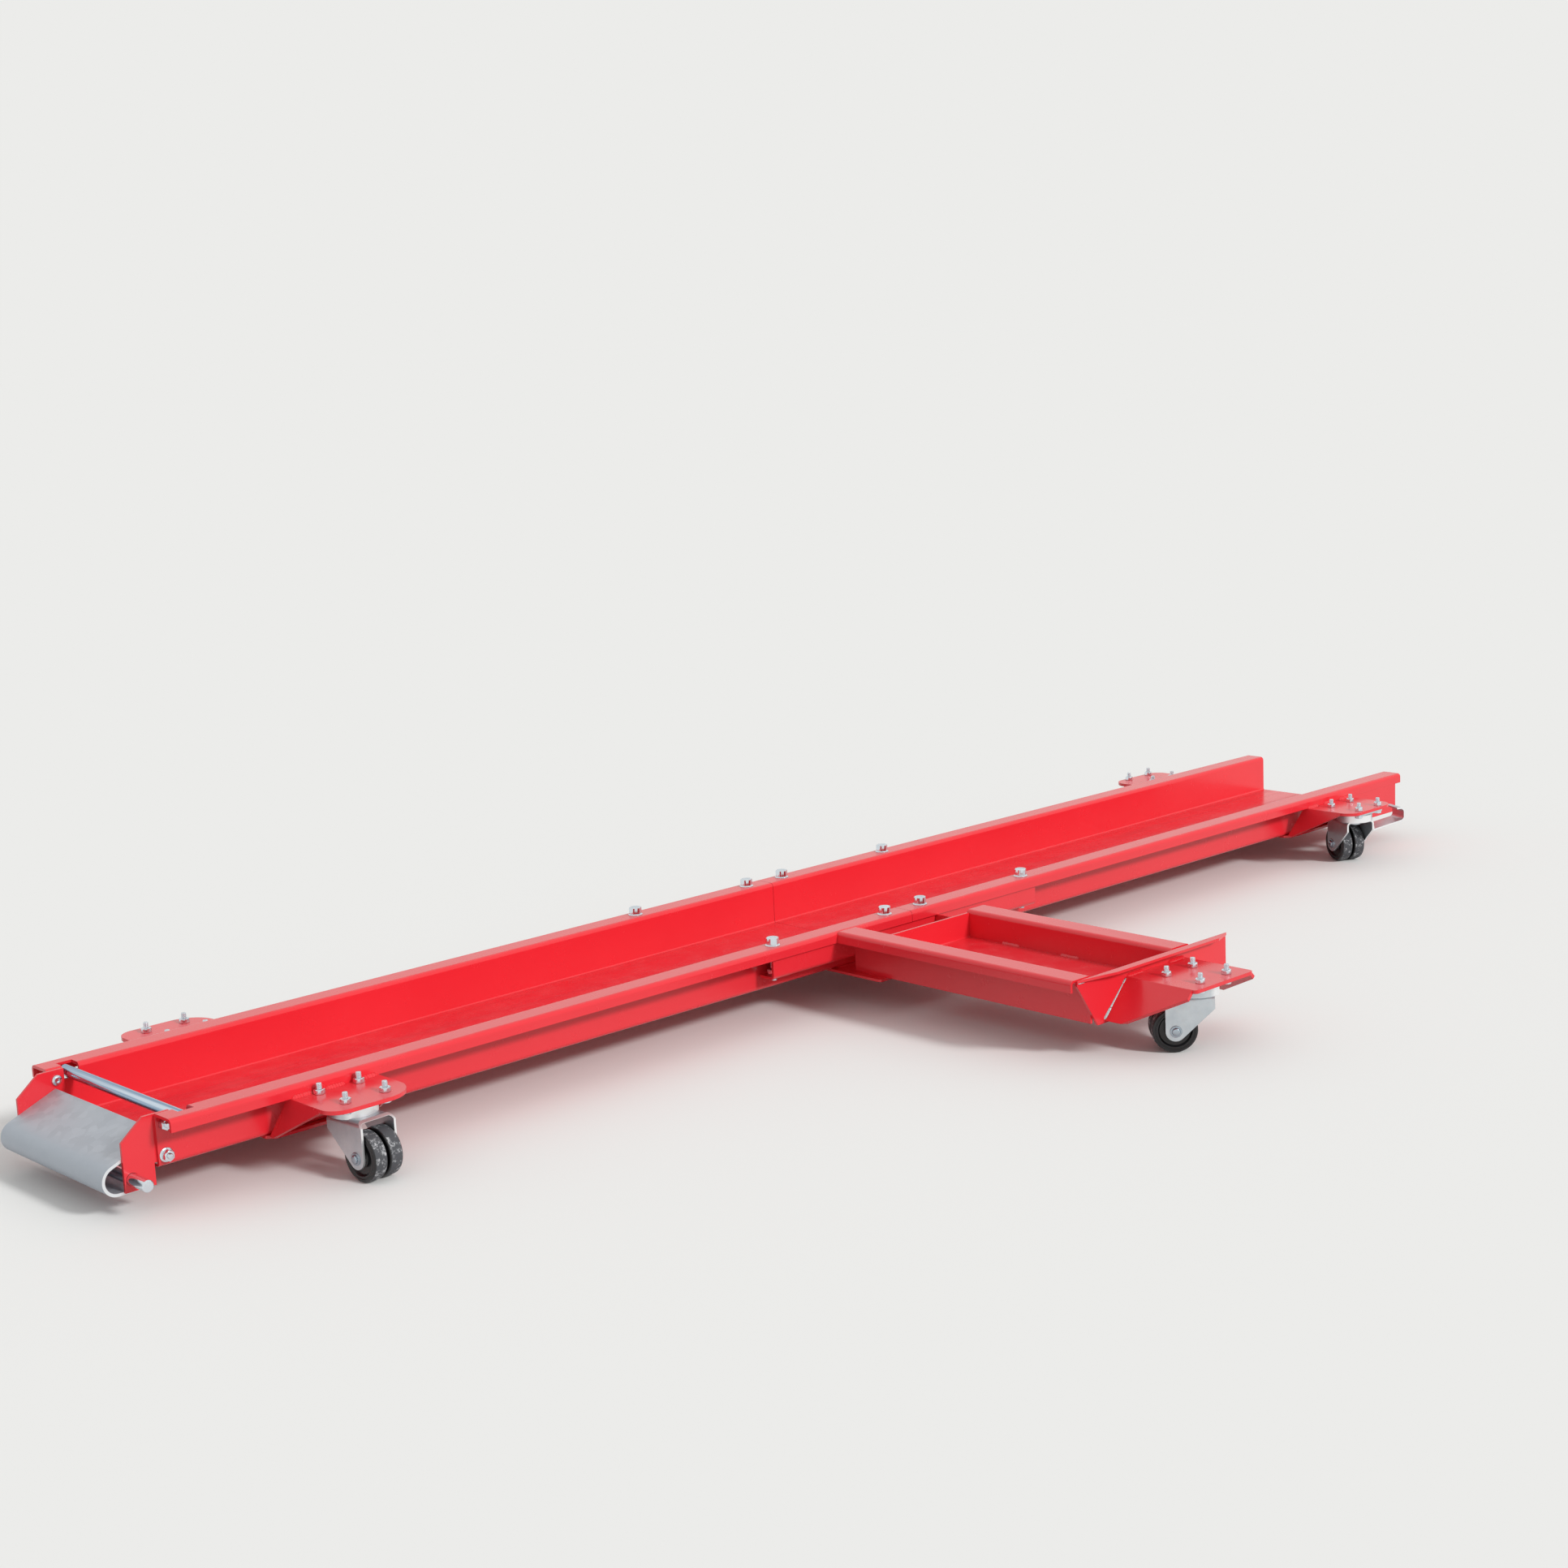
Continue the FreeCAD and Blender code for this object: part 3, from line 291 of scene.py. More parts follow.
# Moulded nylon wheels: black and a little shiny on the sides, the treads rolled to a dark grey with
# dusty specks.
wheelNylon = {
    "side": "#18181A", "tread": "#4A4B4F", "dust": "#B4B5B7",
    "rolled": {"From Min": 0.55, "From Max": 0.2},
    "mottle": {"Scale": perMetre / 2.4, "Detail": 5.0, "Roughness": 0.7},
    "patch": {"Scale": perMetre / 7, "Detail": 3.0},
    "dusty": {"From Min": 0.26, "From Max": 0.37},
    "gloss": {"To Min": 0.3, "To Max": 0.7}, "ior": 1.53,
    "bump": {"Strength": 0.1, "Distance": 0.3 * mm},
}


# tread where the normal leaves the axle, specks where a fine and a coarse noise are both high
def makeWheelNylon(name, axle):
    w = wheelNylon
    material, tree = newMaterial(name)
    place = addNode(tree, "ShaderNodeTexCoord").outputs
    along = addNode(tree, "ShaderNodeVectorMath", {0: place["Normal"], 1: axle}, operation="DOT_PRODUCT")
    flat = addNode(tree, "ShaderNodeMath", {0: along.outputs["Value"]}, operation="ABSOLUTE")
    rolled = addNode(tree, "ShaderNodeMapRange", {"Value": flat.outputs[0], **w["rolled"]})
    mottle = addNode(tree, "ShaderNodeTexNoise", {"Vector": place["Object"], **w["mottle"]})
    patch = addNode(tree, "ShaderNodeTexNoise", {"Vector": place["Object"], **w["patch"]})
    specks = addNode(tree, "ShaderNodeMath", {
        0: mottle.outputs["Fac"], 1: patch.outputs["Fac"]}, operation="MULTIPLY")
    dusty = addNode(tree, "ShaderNodeMapRange", {"Value": specks.outputs[0], **w["dusty"]})
    tread = addNode(tree, "ShaderNodeMix", {
        0: dusty.outputs[0], 6: hexColour(w["tread"]), 7: hexColour(w["dust"])}, data_type="RGBA")
    colour = addNode(tree, "ShaderNodeMix", {
        0: rolled.outputs[0], 6: hexColour(w["side"]), 7: tread.outputs[2]}, data_type="RGBA")
    rough = addNode(tree, "ShaderNodeMapRange", {"Value": rolled.outputs[0], **w["gloss"]})
    bump = addNode(tree, "ShaderNodeBump", {"Height": mottle.outputs["Fac"], **w["bump"]})
    shader = addNode(tree, "ShaderNodeBsdfPrincipled", {
        "Base Color": colour.outputs[2], "Roughness": rough.outputs[0], "Normal": bump.outputs[0],
        "IOR": w["ior"]})
    addNode(tree, "ShaderNodeOutputMaterial", {"Surface": shader.outputs[0]})
    return material


# Painted highlight: bright silver beads standing in for the glint of light along painted weld beads,
# a little rough, with marks drawn coarser than they are, so that they show.
glintBeadPaint = {
    "bright": "#D3D7D9", "grey": "#A9AFB2", "metal": 1.0,
    "glintMottle": {"Scale": perMetre / 1.6, "Detail": 3.0, "Roughness": 0.6},
    "gloss": {"To Min": 0.28, "To Max": 0.45},
}


# tone and gloss of the painted glint by one fine noise
def makeGlintBeadPaint(name):
    w = glintBeadPaint
    material, tree = newMaterial(name)
    place = addNode(tree, "ShaderNodeTexCoord").outputs
    glintMottle = addNode(tree, "ShaderNodeTexNoise", {"Vector": place["Object"], **w["glintMottle"]})
    tone = addNode(tree, "ShaderNodeMix", {
        0: glintMottle.outputs["Fac"], 6: hexColour(w["bright"]), 7: hexColour(w["grey"])}, data_type="RGBA")
    rough = addNode(tree, "ShaderNodeMapRange", {"Value": glintMottle.outputs["Fac"], **w["gloss"]})
    shader = addNode(tree, "ShaderNodeBsdfPrincipled", {
        "Base Color": tone.outputs[2], "Metallic": w["metal"], "Roughness": rough.outputs[0]})
    addNode(tree, "ShaderNodeOutputMaterial", {"Surface": shader.outputs[0]})
    return material


redCoat = makePowderCoat("redPowderCoat", False)
trackCoat = makePowderCoat("redPowderCoatScuffed", True)
zincScrew = makeZinc("brightZincScrew", screwZinc)
zincAxle = makeZinc("brightZincAxle", axleZinc)
zincBar = makeZinc("brightZincDrawnBar", drawnZinc)
# painted highlight: the bright material of the glinting weld beads
glintBeadMaterial = makeGlintBeadPaint("paintedGlintBead")
slotFinish = {"red_powder_coat": redCoat, "zinc_plate": makeZinc("brightZincStamping", stampedZinc),
              "galvanised_sheet": makeGalvanised("galvanisedSheet")}
slotOf = {s["node"]: s["material_slot"] for s in frame["record"]["subparts"]}
spins = [joint for joint in frame["joints"] if joint["name"].endswith("_spin")]
wheelAxles = {joint["child"]: tuple(joint["axis"]) for joint in spins}
for name, piece in nodes.items():
    if name in ("front_rail", "rear_rail"):
        finish = trackCoat
    elif name in wheelAxles:
        finish = makeWheelNylon("wheelNylon_" + name, wheelAxles[name])
    # forks and pedals: zinc with a painted highlight on the edges that face along the wheel's way
    elif name.endswith(("_fork", "_brake_pedal")):
        wheel = name.replace("fork", "left_wheel").replace("brake_pedal", "left_wheel")
        ahead = np.cross(wheelAxles[wheel], (0, 0, 1)).tolist()
        finish = makeZinc("brightZinc_" + name, stampedZinc, ahead)
    else:
        finish = slotFinish[slotOf[name]]
    piece.data.materials.clear()
    piece.data.materials.append(finish)
print("materials set on", len(nodes), "nodes")


# a mesh from one or more grids of points, each closed round its second parameter; caps close its ends
def addPiece(name, grids, material, body, smoothAngle=35):
    points, faces, start = [], [], 0
    for grid, caps in grids:
        rows, cols = grid.shape[:2]
        index = start + np.arange(rows * cols).reshape(rows, cols)
        right = np.roll(index, -1, axis=1)
        a, b, c, d = index[:-1], right[:-1], right[1:], index[1:]
        faces += np.stack([a, b, c, d], axis=-1).reshape(-1, 4).tolist()
        if caps:
            faces += [index[0][::-1].tolist(), index[-1].tolist()]
        points.append(grid.reshape(-1, 3))
        start += rows * cols
    mesh = bpy.data.meshes.new(name)
    mesh.from_pydata(np.concatenate(points).tolist(), [], faces)
    mesh.validate()
    mesh.shade_smooth()
    mesh.set_sharp_from_angle(angle=math.radians(smoothAngle))
    mesh.materials.append(material)
    piece = bpy.data.objects.new(name, mesh)
    bpy.context.scene.collection.objects.link(piece)
    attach(piece, body)
    return piece


# turns a form made about z to its axis, square to x or level, and moves it to its spot
def standUp(x, y, z, spot, axis):
    axis = np.array(axis, float)
    side = np.array([1.0, 0, 0]) if abs(axis[0]) < 0.001 else np.array([0, 0, 1.0])
    front = np.cross(axis, side)
    return (np.array(spot) + x[..., None] * side + y[..., None] * front + z[..., None] * axis) * mm


# A turned form. A row is a radius, a height and half the width over flats, 0 where it is round. A
# hexagon's radius is that half width over the cosine of the angle from the nearest flat, held inside its
# chamfer circle.
def turnedForm(rows, spot, axis=(0, 0, 1), around=36):
    radius, height, half = np.hsplit(np.array(rows, float), 3)
    angle = np.linspace(0, 2 * np.pi, around, endpoint=False)
    offFlat = (angle + np.pi / 6) % (np.pi / 3) - np.pi / 6
    radius = np.where(half > 0, np.minimum(half / np.cos(offFlat), radius), radius)
    return standUp(radius * np.cos(angle), radius * np.sin(angle), height + 0 * angle, spot, axis)


thread = {"depthShare": 0.6, "tipShare": 0.75, "perPitch": 6, "fewest": 4, "around": 20}


# Screw thread: the radius rises and falls once a pitch, and the crest climbs one pitch a turn. It fades
# out over the last pitch.
def threadForm(radius, pitch, low, high, spot, axis=(0, 0, 1)):
    t = thread
    angle = np.linspace(0, 2 * np.pi, t["around"], endpoint=False)[None]
    steps = max(t["fewest"], int(abs(high - low) / pitch * t["perPitch"]))
    height = np.linspace(low, high, steps)[:, None]
    wave = np.abs(((height / pitch - angle / (2 * np.pi)) % 1) * 2 - 1)
    fade = np.clip((high - height) / pitch, 0, 1)
    reach = radius - t["depthShare"] * pitch * np.maximum(wave, 1 - fade)
    reach[-1] = radius - t["tipShare"] * pitch
    return standUp(reach * np.cos(angle), reach * np.sin(angle), height + 0 * angle, spot, axis)


hexagon = {"rimShare": 0.97, "bevelShare": 0.55, "footShare": 0.6, "boreShare": 0.98,
           "collarEdgeShare": 0.5, "collarTopShare": 1.01, "collarRiseShare": 1.05}


# Hexagon head or nut from its seat upwards, with both edges chamfered, or on a collar that slopes up to
# it. The corners lie at the width over flats divided by the root of three.
def hexRows(flats, height, bore, collar=0.0, collarRadius=0.0):
    h = hexagon
    half, corner = flats / 2, flats / math.sqrt(3)
    bevel, rim = (corner - half) * h["bevelShare"], half * h["rimShare"]
    foot = [(rim, 0, half), (corner, bevel * h["footShare"], half)]
    if collar:
        foot = [(collarRadius, 0, 0), (collarRadius, collar * h["collarEdgeShare"], 0),
                (corner * h["collarTopShare"], collar, 0), (corner, collar * h["collarRiseShare"], half)]
    top = [(corner, height - bevel, half), (rim, height, half), (bore, height, 0)]
    return [(bore, 0, 0)] + foot + top


casterScrews = {"pitch": 45.0, "radius": 3.0, "threadPitch": 1.0, "flats": 10.0, "headHeight": 4.0,
                "nutHeight": 5.0, "plate": 2.5, "bracket": 4.0, "standing": 6.0, "threadStart": 4.5,
                "around": 20}


# four to a caster, on the corners of a square about the middle of its plate
def makeCasterScrews():
    c = casterScrews
    head = hexRows(c["flats"], c["headHeight"], point)
    nut = hexRows(c["flats"], c["nutHeight"], c["radius"] * hexagon["boreShare"])
    shank = [(c["radius"], 0, 0), (c["radius"], c["plate"] + c["bracket"] + c["threadStart"], 0)]
    end = c["nutHeight"] + c["standing"]
    screws, nuts = [], []
    for name in casterNames:
        low, high = boxMm(name + "_caster_plate")
        middle, seat = (low + high) / 2, high[2]
        for i in (-1, 1):
            for j in (-1, 1):
                spot = np.array([middle[0] + i * c["pitch"] / 2, middle[1] + j * c["pitch"] / 2, 0])
                under, top = spot + [0, 0, seat - c["plate"]], spot + [0, 0, seat + c["bracket"]]
                screws.append((turnedForm(head, under, (0, 0, -1)), False))
                screws.append((turnedForm(shank, under, around=c["around"]), True))
                screws.append((threadForm(c["radius"], c["threadPitch"], c["threadStart"], end, top), True))
                nuts.append((turnedForm(nut, top), False))
    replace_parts(addPiece("casterScrews", screws, zincScrew, "frame"), "caster_bolts")
    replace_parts(addPiece("casterNuts", nuts, zincScrew, "frame"), "caster_nuts")
    print("caster screws and nuts:", len(nuts))


makeCasterScrews()

joinerScrews = {"radius": 4.0, "threadPitch": 1.25, "flats": 13.0, "headHeight": 9.5, "collar": 1.5,
                "collarRadius": 8.5, "rimShare": 0.43, "dishShare": 0.34, "dish": 0.9, "nutHeight": 6.5,
                "threaded": 14.0, "innerPitch": 60.0, "around": 24}


# dished heads in two rows of four, the outer ones as far out as the bolts' box
def makeJoinerScrews():
    j = joinerScrews
    boltLow, boltHigh = boxMm("joiner_bolts")
    nutSeat = boxMm("joiner_nuts")[0][2]
    middle, reach = (boltHigh + boltLow) / 2, (boltHigh - boltLow) / 2 - j["collarRadius"]
    top = boltHigh[2] - j["headHeight"]
    end = top - boltLow[2]
    plain = end - j["threaded"]
    dish = j["headHeight"] - j["dish"]
    head = hexRows(j["flats"], j["headHeight"], j["flats"] * j["rimShare"], j["collar"], j["collarRadius"])
    head = [(point, 0, 0)] + head[1:] + [(j["flats"] * j["dishShare"], dish, 0), (point, dish, 0)]
    nut = hexRows(j["flats"], j["nutHeight"], j["radius"] * hexagon["boreShare"])
    shank = [(j["radius"], 0, 0), (j["radius"], plain, 0)]
    down = (0, 0, -1)
    screws, nuts = [], []
    for x in (-reach[0], -j["innerPitch"] / 2, j["innerPitch"] / 2, reach[0]):
        for y in (-reach[1], reach[1]):
            spot = np.array([middle[0] + x, middle[1] + y, 0])
            seat = spot + [0, 0, top]
            screws.append((turnedForm(head, seat), False))
            screws.append((turnedForm(shank, seat, down, j["around"]), True))
            screws.append((threadForm(j["radius"], j["threadPitch"], plain, end, seat, down), True))
            nuts.append((turnedForm(nut, spot + [0, 0, nutSeat]), False))
    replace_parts(addPiece("joinerScrews", screws, zincScrew, "frame"), "joiner_bolts")
    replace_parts(addPiece("joinerNuts", nuts, zincScrew, "frame"), "joiner_nuts")
    print("joiner screws:", len(nuts))


makeJoinerScrews()

earScrews = {"radius": 3.0, "threadPitch": 1.0, "buttonRadius": 5.6, "buttonHeight": 3.3, "buttonEdge": 0.5,
             "domeSteps": 7, "socketFlats": 4.0, "socketRim": 0.3, "socketChamfer": 0.15, "socketDepth": 1.8,
             "flats": 10.0, "nutHeight": 7.0, "collar": 1.5, "collarRadius": 7.1, "sheet": 3.0, "around": 20}


# button heads: a dome that follows a quarter ellipse from rim to crown, sunk by a hexagon socket
def makeEarScrews():
    e = earScrews
    boltLow, boltHigh = boxMm("ear_bolts")
    x = (boltLow[0] + boltHigh[0]) / 2
    wide, high, foot = e["buttonRadius"], e["buttonHeight"], e["buttonEdge"]
    heights = (boltLow[2] + wide, boltHigh[2] - wide)
    rim, key = e["socketFlats"] / math.sqrt(3) + e["socketRim"], e["socketFlats"] / 2
    deep = high - e["socketDepth"]
    turn = np.linspace(0, np.pi / 2, e["domeSteps"])[:-1]
    dome = np.stack([rim + (wide - rim) * np.cos(turn), foot + (high - foot) * np.sin(turn),
                     0 * turn], axis=1)
    socket = [(rim, high, 0), (rim, high - e["socketChamfer"], key), (rim, deep, key), (point, deep, 0)]
    button = np.concatenate([[(point, 0, 0), (wide, 0, 0)], dome, socket])
    bore = e["radius"] * hexagon["boreShare"]
    screws, nuts = [], []
    for ear, inward in (("near_ear", 1), ("far_ear", -1)):
        earLow, earHigh = boxMm(ear)
        face = earHigh[1] if inward > 0 else earLow[1]
        wall = earLow[1] - e["sheet"] if inward > 0 else earHigh[1] + e["sheet"]
        end = abs((boltLow[1] if inward > 0 else boltHigh[1]) - face)
        plain = abs(wall - face)
        shank = [(e["radius"], 0, 0), (e["radius"], plain, 0)]
        out = (0, -inward, 0)
        for z in heights:
            seat = (x, face, z)
            screws.append((turnedForm(button, seat, (0, inward, 0)), False))
            screws.append((turnedForm(shank, seat, out, e["around"]), True))
            screws.append((threadForm(e["radius"], e["threadPitch"], plain, end, seat, out), True))
            collar = e["collar"] if z == heights[0] else 0.0        # the lower nuts have flanges
            nut = hexRows(e["flats"], e["nutHeight"], bore, collar, e["collarRadius"])
            nuts.append((turnedForm(nut, (x, wall, z), out), False))
    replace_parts(addPiece("earScrews", screws, zincScrew, "frame"), "ear_bolts")
    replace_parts(addPiece("earNuts", nuts, zincScrew, "frame"), "ear_nuts")
    print("ear screws:", len(nuts))


makeEarScrews()


# how far a node's points lie along an axis from a spot, in millimetres
def alongAxis(node, spot, axis):
    points = np.empty(len(nodes[node].data.vertices) * 3)
    nodes[node].data.vertices.foreach_get("co", points)
    return (points.reshape(-1, 3) * perMetre - spot) @ axis


casterWheel = {"radius": 25.0, "edge": 24.6, "shoulder": 2.2, "inside": 1.5, "width": 15.5, "rim": 18.0,
               "recess": 2.5, "hub": 9.0, "bore": 4.06, "grooveRadius": 20.8, "groove": 0.45, "soft": 0.6,
               "shoulderSteps": 6, "treadSteps": 9, "around": 72, "smoothAngle": 40}


# A wheel's profile, turned about the axle: hub, flat inner side, quarter-round shoulder, tread that falls
# off by the square of the way from its middle, shoulder, grooved rim, dished web and hub end.
def wheelRows(inner, outer):
    w = casterWheel
    start, end, s, soft = w["inside"], w["inside"] + w["width"], w["shoulder"], w["soft"]
    edge, hub, rim, bore = w["edge"], w["hub"], w["rim"], w["bore"]
    turn = np.linspace(0, np.pi / 2, w["shoulderSteps"])
    across = np.linspace(-1, 1, w["treadSteps"])[1:-1]
    near = [(bore, inner), (hub - soft, inner), (hub, inner + soft), (hub, start)]
    rise = np.stack([edge - s + s * np.sin(turn), start + s - s * np.cos(turn)], axis=1)
    tread = np.stack([edge + (w["radius"] - edge) * (1 - across * across),
                      start + s + (w["width"] - 2 * s) * (across + 1) / 2], axis=1)
    fall = np.stack([edge - s + s * np.cos(turn), end - s + s * np.sin(turn)], axis=1)
    g, deep = w["grooveRadius"], w["groove"]
    groove = [(g + 2 * deep, end), (g + deep, end - deep), (g - deep, end - deep), (g - 2 * deep, end)]
    floor = end - w["recess"]
    web = [(rim + soft, end), (rim, end - soft), (rim - soft, floor + soft),
           (rim - 2 * soft, floor), (hub + 2 * soft, floor), (hub, floor + 2 * soft)]
    far = [(hub, outer - soft), (hub - soft, outer), (bore, outer), (bore, inner)]
    rows = np.concatenate([near, rise, tread, fall, groove, web, far])
    return np.pad(rows, ((0, 0), (0, 1)))


# an axle's end, a riveted stub on a washer: radius, and height above the fork's leg
casterAxle = {"headHeight": 3.5, "around": 48,
              "head": ((4.0, 0.0), (6.5, 0.0), (6.5, 0.8), (6.15, 1.15), (4.65, 1.3), (4.4, 1.05),
                       (4.1, 1.2), (4.1, 2.4), (3.6, 3.0), (2.7, 3.35), (1.5, 3.5), (point, 3.5))}


# ten wheels, each turned about its own spin joint, and for each pair a pin with the same end both ways
def makeWheels():
    w, a = casterWheel, casterAxle
    for joint in spins:
        node, body = joint["child"], joint["parent"]
        axis, spot = np.array(joint["axis"], float), np.array(joint["pos_m"]) * perMetre
        reach = alongAxis(node, spot, axis)
        if reach.mean() < 0:
            axis, reach = -axis, -reach
        form = turnedForm(wheelRows(reach.min(), reach.max()), spot, axis, w["around"])
        wheel = addPiece(node + "Turned", [(form, False)], nodes[node].data.materials[0],
                         node, w["smoothAngle"])
        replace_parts(wheel, node)
        if node.endswith("_left_wheel"):
            pin = node.replace("left_wheel", "axle")
            seat = np.abs(alongAxis(pin, spot, axis)).max() - a["headHeight"]
            head = np.array(a["head"]) + [0, seat]
            rows = np.pad(np.concatenate([head[::-1] * [1, -1], head]), ((0, 0), (0, 1)))
            form = turnedForm(rows, spot, axis, a["around"])
            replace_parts(addPiece(pin + "Riveted", [(form, False)], zincAxle, body), pin)
    print("wheels and axles turned")


makeWheels()

barEnd = {"chamfer": 0.9, "around": 64}


# round bars: a circle carried along y, its two ends chamfered
def makeBars():
    for name, node, body, finish in (("stopBarRound", "stop_bar", "stop_bar", zincBar),
                                     ("rampRodRound", "ramp_rod", "frame", zincScrew)):
        low, high = boxMm(node)
        radius, length, c = (high[2] - low[2]) / 2, high[1] - low[1], barEnd["chamfer"]
        rows = [(point, 0, 0), (radius - c, 0, 0), (radius, c, 0), (radius, length - c, 0),
                (radius - c, length, 0), (point, length, 0)]
        spot = ((low[0] + high[0]) / 2, low[1], (low[2] + high[2]) / 2)
        form = turnedForm(rows, spot, (0, 1, 0), barEnd["around"])
        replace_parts(addPiece(name, [(form, False)], finish, body), node)
    print("bars chamfered")


makeBars()

# glintRadius and glintEndRadius size the bright beads that paint a glint along welds
weldBead = {"radius": 3.0, "smallRadius": 2.2, "glintRadius": 1.1, "glintEndRadius": 1.7, "ripple": 0.16,
            "stepMm": 3.0, "rowsPerStep": 5, "fewestRows": 8, "across": 7, "flatten": 0.18, "runOut": 1.2,
            "endShare": 0.02, "rootMm": 0.3, "smoothAngle": 60}


# A weld bead: a fat quarter round in the corner between two faces, carried along a straight path, with
# the ripple of the puddle. The radius swells once a step, and both ends run out by a square root.
def beadForm(start, end, faceA, faceB, radius=weldBead["radius"]):
    b = weldBead
    start, end, faceA, faceB = (np.array(v, float) for v in (start, end, faceA, faceB))
    length = np.linalg.norm(end - start)
    s = np.linspace(0, 1, max(b["fewestRows"], int(length / b["stepMm"] * b["rowsPerStep"])))[:, None]
    swell = 1 + b["ripple"] * (1 - 2 * ((s * length / b["stepMm"]) % 1) ** 2)
    runOut = np.sqrt(np.clip(np.minimum(s, 1 - s) * length / (radius * b["runOut"]), b["endShare"], 1))
    turn = np.linspace(0, np.pi / 2, b["across"])[None]
    bulge = radius * swell * runOut * (1 - b["flatten"] * np.sin(2 * turn))
    corner = np.cos(turn)[..., None] * faceA + np.sin(turn)[..., None] * faceB
    arc = start + s[..., None] * (end - start) + bulge[..., None] * corner
    root = start + s * (end - start) - b["rootMm"] * (faceA + faceB)
    return np.concatenate([arc, root[:, None]], axis=1) * mm, True


# sizes of what is welded, in mm
track = {"lipDepth": 13.0, "sheet": 3.0, "flangeReach": 32.0, "bracketSheet": 4.0, "bracketHalf": 50.0,
         "traySplay": 38.0}
# where the beads start and end along it, in mm from its middle or edge, or as shares of its length
weldRuns = {"lip": ((-49, -24), (-12, 12), (24, 49)), "wall": ((-40, -12), (12, 40)),
            "strapShares": (0.06, 0.28, 0.5, 0.72), "strapLength": 30, "trayLip": ((-49, -22), (22, 49)),
            "wingInset": 1, "wingUpper": 0.16, "wingLower": 0.7, "cornerInset": 1, "cornerLength": 11,
            "cornerDrop": 4, "panFoot": 4, "panTop": 6, "panStarts": (40, 130, 220), "panLength": 28}


# straight beads, each between two spots worked out from the boxes of the pieces that it joins
def makeWelds():
    t, r, b = track, weldRuns, weldBead
    railLow, railHigh = boxMm("front_rail")
    lipBottom = railHigh[2] - t["lipDepth"]
    seat = lipBottom - t["bracketSheet"]
    # the second list holds bright beads that paint a glint of light along welds
    beads, paintedGlint = [], []
    for name in casterNames[:4]:
        plateLow, plateHigh = boxMm(name + "_caster_plate")
        out = -1 if "near" in name else 1
        lip = railLow[1] if out < 0 else railHigh[1]
        wall = lip - out * (t["flangeReach"] - t["sheet"])
        middle = (plateLow[0] + plateHigh[0]) / 2
        for x0, x1 in r["lip"]:
            beads.append(beadForm((middle + x0, lip, lipBottom), (middle + x1, lip, lipBottom),
                                  (0, out, 0), (0, 0, 1)))
        for x0, x1 in r["wall"]:
            beads.append(beadForm((middle + x0, wall, seat), (middle + x1, wall, seat),
                                  (0, out, 0), (0, 0, -1)))
    # cross straps and splice plate, stitched to the underside of the floor along their edges
    edge = railLow[1] + t["flangeReach"]
    floorWidth = 2 * abs(edge - (railLow[1] + railHigh[1]) / 2)
    for name in ("front_cross_strap", "rear_cross_strap", "splice_plate"):
        low, high = boxMm(name)
        for x, side in ((low[0], -1), (high[0], 1)):
            for share in r["strapShares"]:
                y = edge + share * floorWidth
                beads.append(beadForm((x, y, high[2]), (x, y + r["strapLength"], high[2]),
                                      (side, 0, 0), (0, 0, -1), b["smallRadius"]))
    # tray: bracket root, both wing roots, side walls and pan against the end plate; at the wing roots and
    # end plate corners, bright beads paint the glint of light along the welds
    plateLow, plateHigh = boxMm("tray_caster_plate")
    middle = (plateLow[0] + plateHigh[0]) / 2
    inner = boxMm("tray_left_side")[0][1]
    endFace = inner - t["sheet"]
    for x0, x1 in r["trayLip"]:
        beads.append(beadForm((middle + x0, endFace, lipBottom), (middle + x1, endFace, lipBottom),
                              (0, -1, 0), (0, 0, 1)))
    lean = np.array([lipBottom - railLow[2], 0, t["traySplay"]])
    lean /= np.linalg.norm(lean)
    for side in (-1, 1):
        top = np.array([middle + side * t["bracketHalf"], endFace, lipBottom - r["wingInset"]])
        foot = np.array([middle + side * (t["bracketHalf"] + t["traySplay"]), endFace,
                         railLow[2] + r["wingInset"]])
        upper, lower = top + r["wingUpper"] * (foot - top), top + r["wingLower"] * (foot - top)
        for start, end, radius in ((top, foot, b["glintRadius"]), (top, upper, b["glintEndRadius"]),
                                   (lower, foot, b["glintEndRadius"])):
            paintedGlint.append(beadForm(start, end, (0, -1, 0), (side * lean[0], 0, lean[2]), radius))
    plateLow, plateHigh = boxMm("tray_end_plate")
    height = plateHigh[2] - r["cornerDrop"]
    left, right = plateLow[0] + r["cornerInset"], plateHigh[0] - r["cornerInset"]
    for x0, x1 in ((left, left + r["cornerLength"]), (right - r["cornerLength"], right)):
        paintedGlint.append(beadForm((x0, endFace, height), (x1, endFace, height),
                             (0, -1, 0), (0, 0, 1), b["glintEndRadius"]))
    panLow, panHigh = boxMm("tray_pan")
    panFloor = panLow[2] + t["sheet"]
    for x, side in ((panLow[0], 1), (panHigh[0], -1)):
        beads.append(beadForm((x, inner, panFloor + r["panFoot"]), (x, inner, railHigh[2] - r["panTop"]),
                              (side, 0, 0), (0, 1, 0), b["smallRadius"]))
        for start in r["panStarts"]:
            y = inner + start
            beads.append(beadForm((x, y, panFloor), (x, y + r["panLength"], panFloor),
                                  (side, 0, 0), (0, 0, 1), b["smallRadius"]))
    addPiece("weldBeads", beads, redCoat, "frame", b["smoothAngle"])
    # painted highlight: bright beads for the glint along the tray's wing roots and end plate corners
    addPiece("paintedGlintBeads", paintedGlint, glintBeadMaterial, "frame", b["smoothAngle"])
    print("weld beads:", len(beads), "painted and", len(paintedGlint), "paintedGlint")


makeWelds()


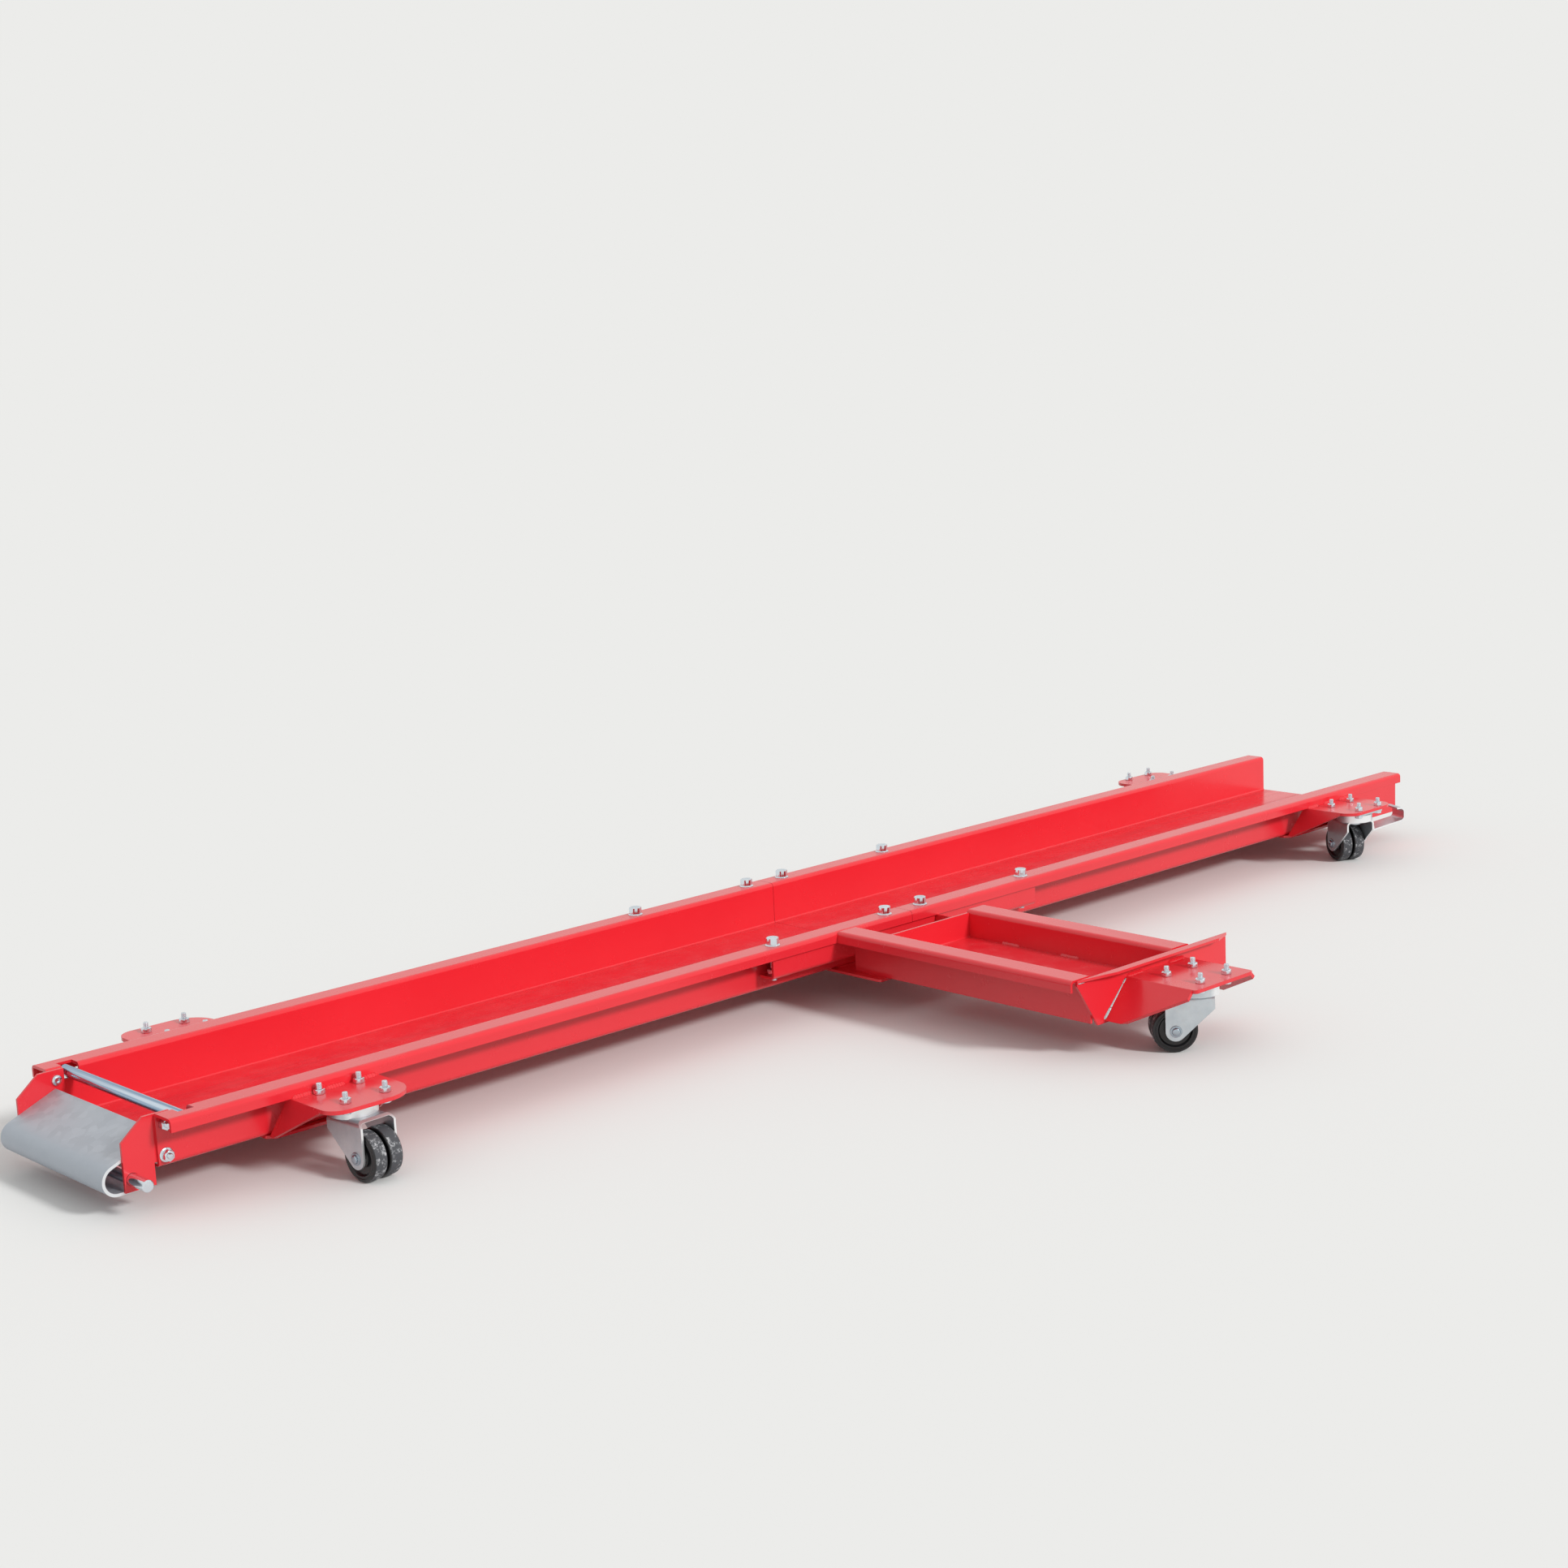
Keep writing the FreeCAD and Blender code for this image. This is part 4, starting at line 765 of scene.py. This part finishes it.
# a placement from three axes and a spot in metres
def placement(right, up, back, spot):
    turn = np.eye(4)
    turn[:3, :3] = np.stack([right, up, back], axis=1)
    turn[:3, 3] = spot
    return Matrix(turn.tolist())


stage = {"floor": "#ECECEA", "bounce": "#C4C4C3", "background": "#ECECEA", "dome": "#FFFFFF",
         "domeStrength": 0.66, "floorHalf": 40.0, "floorDrop": 0.0002, "floorRoughness": 0.9,
         "keyFrom": (0.14, -0.84, 0.50), "keyAway": 6.0,
         # name, share of the key, width in degrees, and whether gloss mirrors it
         "lamps": (("key", 0.87, 9.0, False), ("gleam", 0.13, 20.0, True))}


# Pale floor, an even dome and one low key from the tray's side. The key makes up what the dome leaves, so
# that the level floor renders as its colour is written. Most of it comes from a lamp that gloss doesn't
# mirror, the rest from a broad one that gives soft gleams.
def makeStage():
    mesh = bpy.data.meshes.new("floor")
    x, y = np.meshgrid((-stage["floorHalf"], stage["floorHalf"]), (-stage["floorHalf"], stage["floorHalf"]))
    corners = np.stack([x, y, 0 * x - stage["floorDrop"]], axis=-1).reshape(-1, 3)
    mesh.from_pydata(corners.tolist(), [], [[0, 1, 3, 2]])
    floor = bpy.data.objects.new("floor", mesh)
    bpy.context.scene.collection.objects.link(floor)
    material, floorTree = newMaterial("paleFloor")
    mesh.materials.append(material)
    world = bpy.data.worlds.new("softStudio")
    bpy.context.scene.world = world
    world.use_nodes = True
    skyTree = world.node_tree
    skyTree.nodes.clear()
    shown = []                  # 1 where floor and sky are seen or mirrored, 0 for the light they send on
    for tree in (floorTree, skyTree):
        ray = addNode(tree, "ShaderNodeLightPath").outputs
        shown.append(addNode(tree, "ShaderNodeMath", {
            0: ray["Is Camera Ray"], 1: ray["Is Glossy Ray"]}, operation="MAXIMUM").outputs[0])
    tone = addNode(floorTree, "ShaderNodeMix", {
        0: shown[0], 6: hexColour(stage["bounce"]), 7: hexColour(stage["floor"])}, data_type="RGBA")
    shader = addNode(floorTree, "ShaderNodeBsdfPrincipled", {
        "Base Color": tone.outputs[2], "Roughness": stage["floorRoughness"], "Specular IOR Level": 0.0})
    addNode(floorTree, "ShaderNodeOutputMaterial", {"Surface": shader.outputs[0]})
    soft = addNode(skyTree, "ShaderNodeBackground", {
        "Color": hexColour(stage["dome"]), "Strength": stage["domeStrength"]})
    plain = addNode(skyTree, "ShaderNodeBackground", {
        "Color": hexColour(stage["background"]), "Strength": 1.0})
    mix = addNode(skyTree, "ShaderNodeMixShader", {0: shown[1], 1: soft.outputs[0], 2: plain.outputs[0]})
    addNode(skyTree, "ShaderNodeOutputWorld", {"Surface": mix.outputs[0]})
    away = np.array(stage["keyFrom"]) / np.linalg.norm(stage["keyFrom"])
    right = np.cross((0, 0, 1), away)
    right /= np.linalg.norm(right)
    for name, share, width, mirrored in stage["lamps"]:
        lamp = bpy.data.lights.new(name, "SUN")
        lamp.energy = share * (1 - stage["domeStrength"]) * math.pi / away[2]
        lamp.angle = math.radians(width)
        holder = bpy.data.objects.new(name, lamp)
        holder.matrix_world = placement(right, np.cross(away, right), away, away * stage["keyAway"])
        holder.visible_glossy = mirrored
        bpy.context.scene.collection.objects.link(holder)
    print("stage and light set")


makeStage()

view = {"spotMm": (-2044.94, -1976.86, 804.8), "right": (0.72921, -0.68268, -0.04679),
        "up": (0.16226, 0.10609, 0.98103), "ahead": (0.66477, 0.72298, -0.18813),
        "lensMm": 57.616, "sensorMm": 36.0, "clip": (0.05, 200.0)}


# camera at the photograph's angle
def makeCamera():
    data = bpy.data.cameras.new("camera")
    data.lens, data.sensor_width = view["lensMm"], view["sensorMm"]
    data.clip_start, data.clip_end = view["clip"]
    camera = bpy.data.objects.new("camera", data)
    camera.matrix_world = placement(view["right"], view["up"], -np.array(view["ahead"]),
                                    np.array(view["spotMm"]) * mm)
    bpy.context.scene.collection.objects.link(camera)
    bpy.context.scene.camera = camera
    bpy.context.scene.view_settings.view_transform = "Standard"
    print("camera set")


makeCamera()
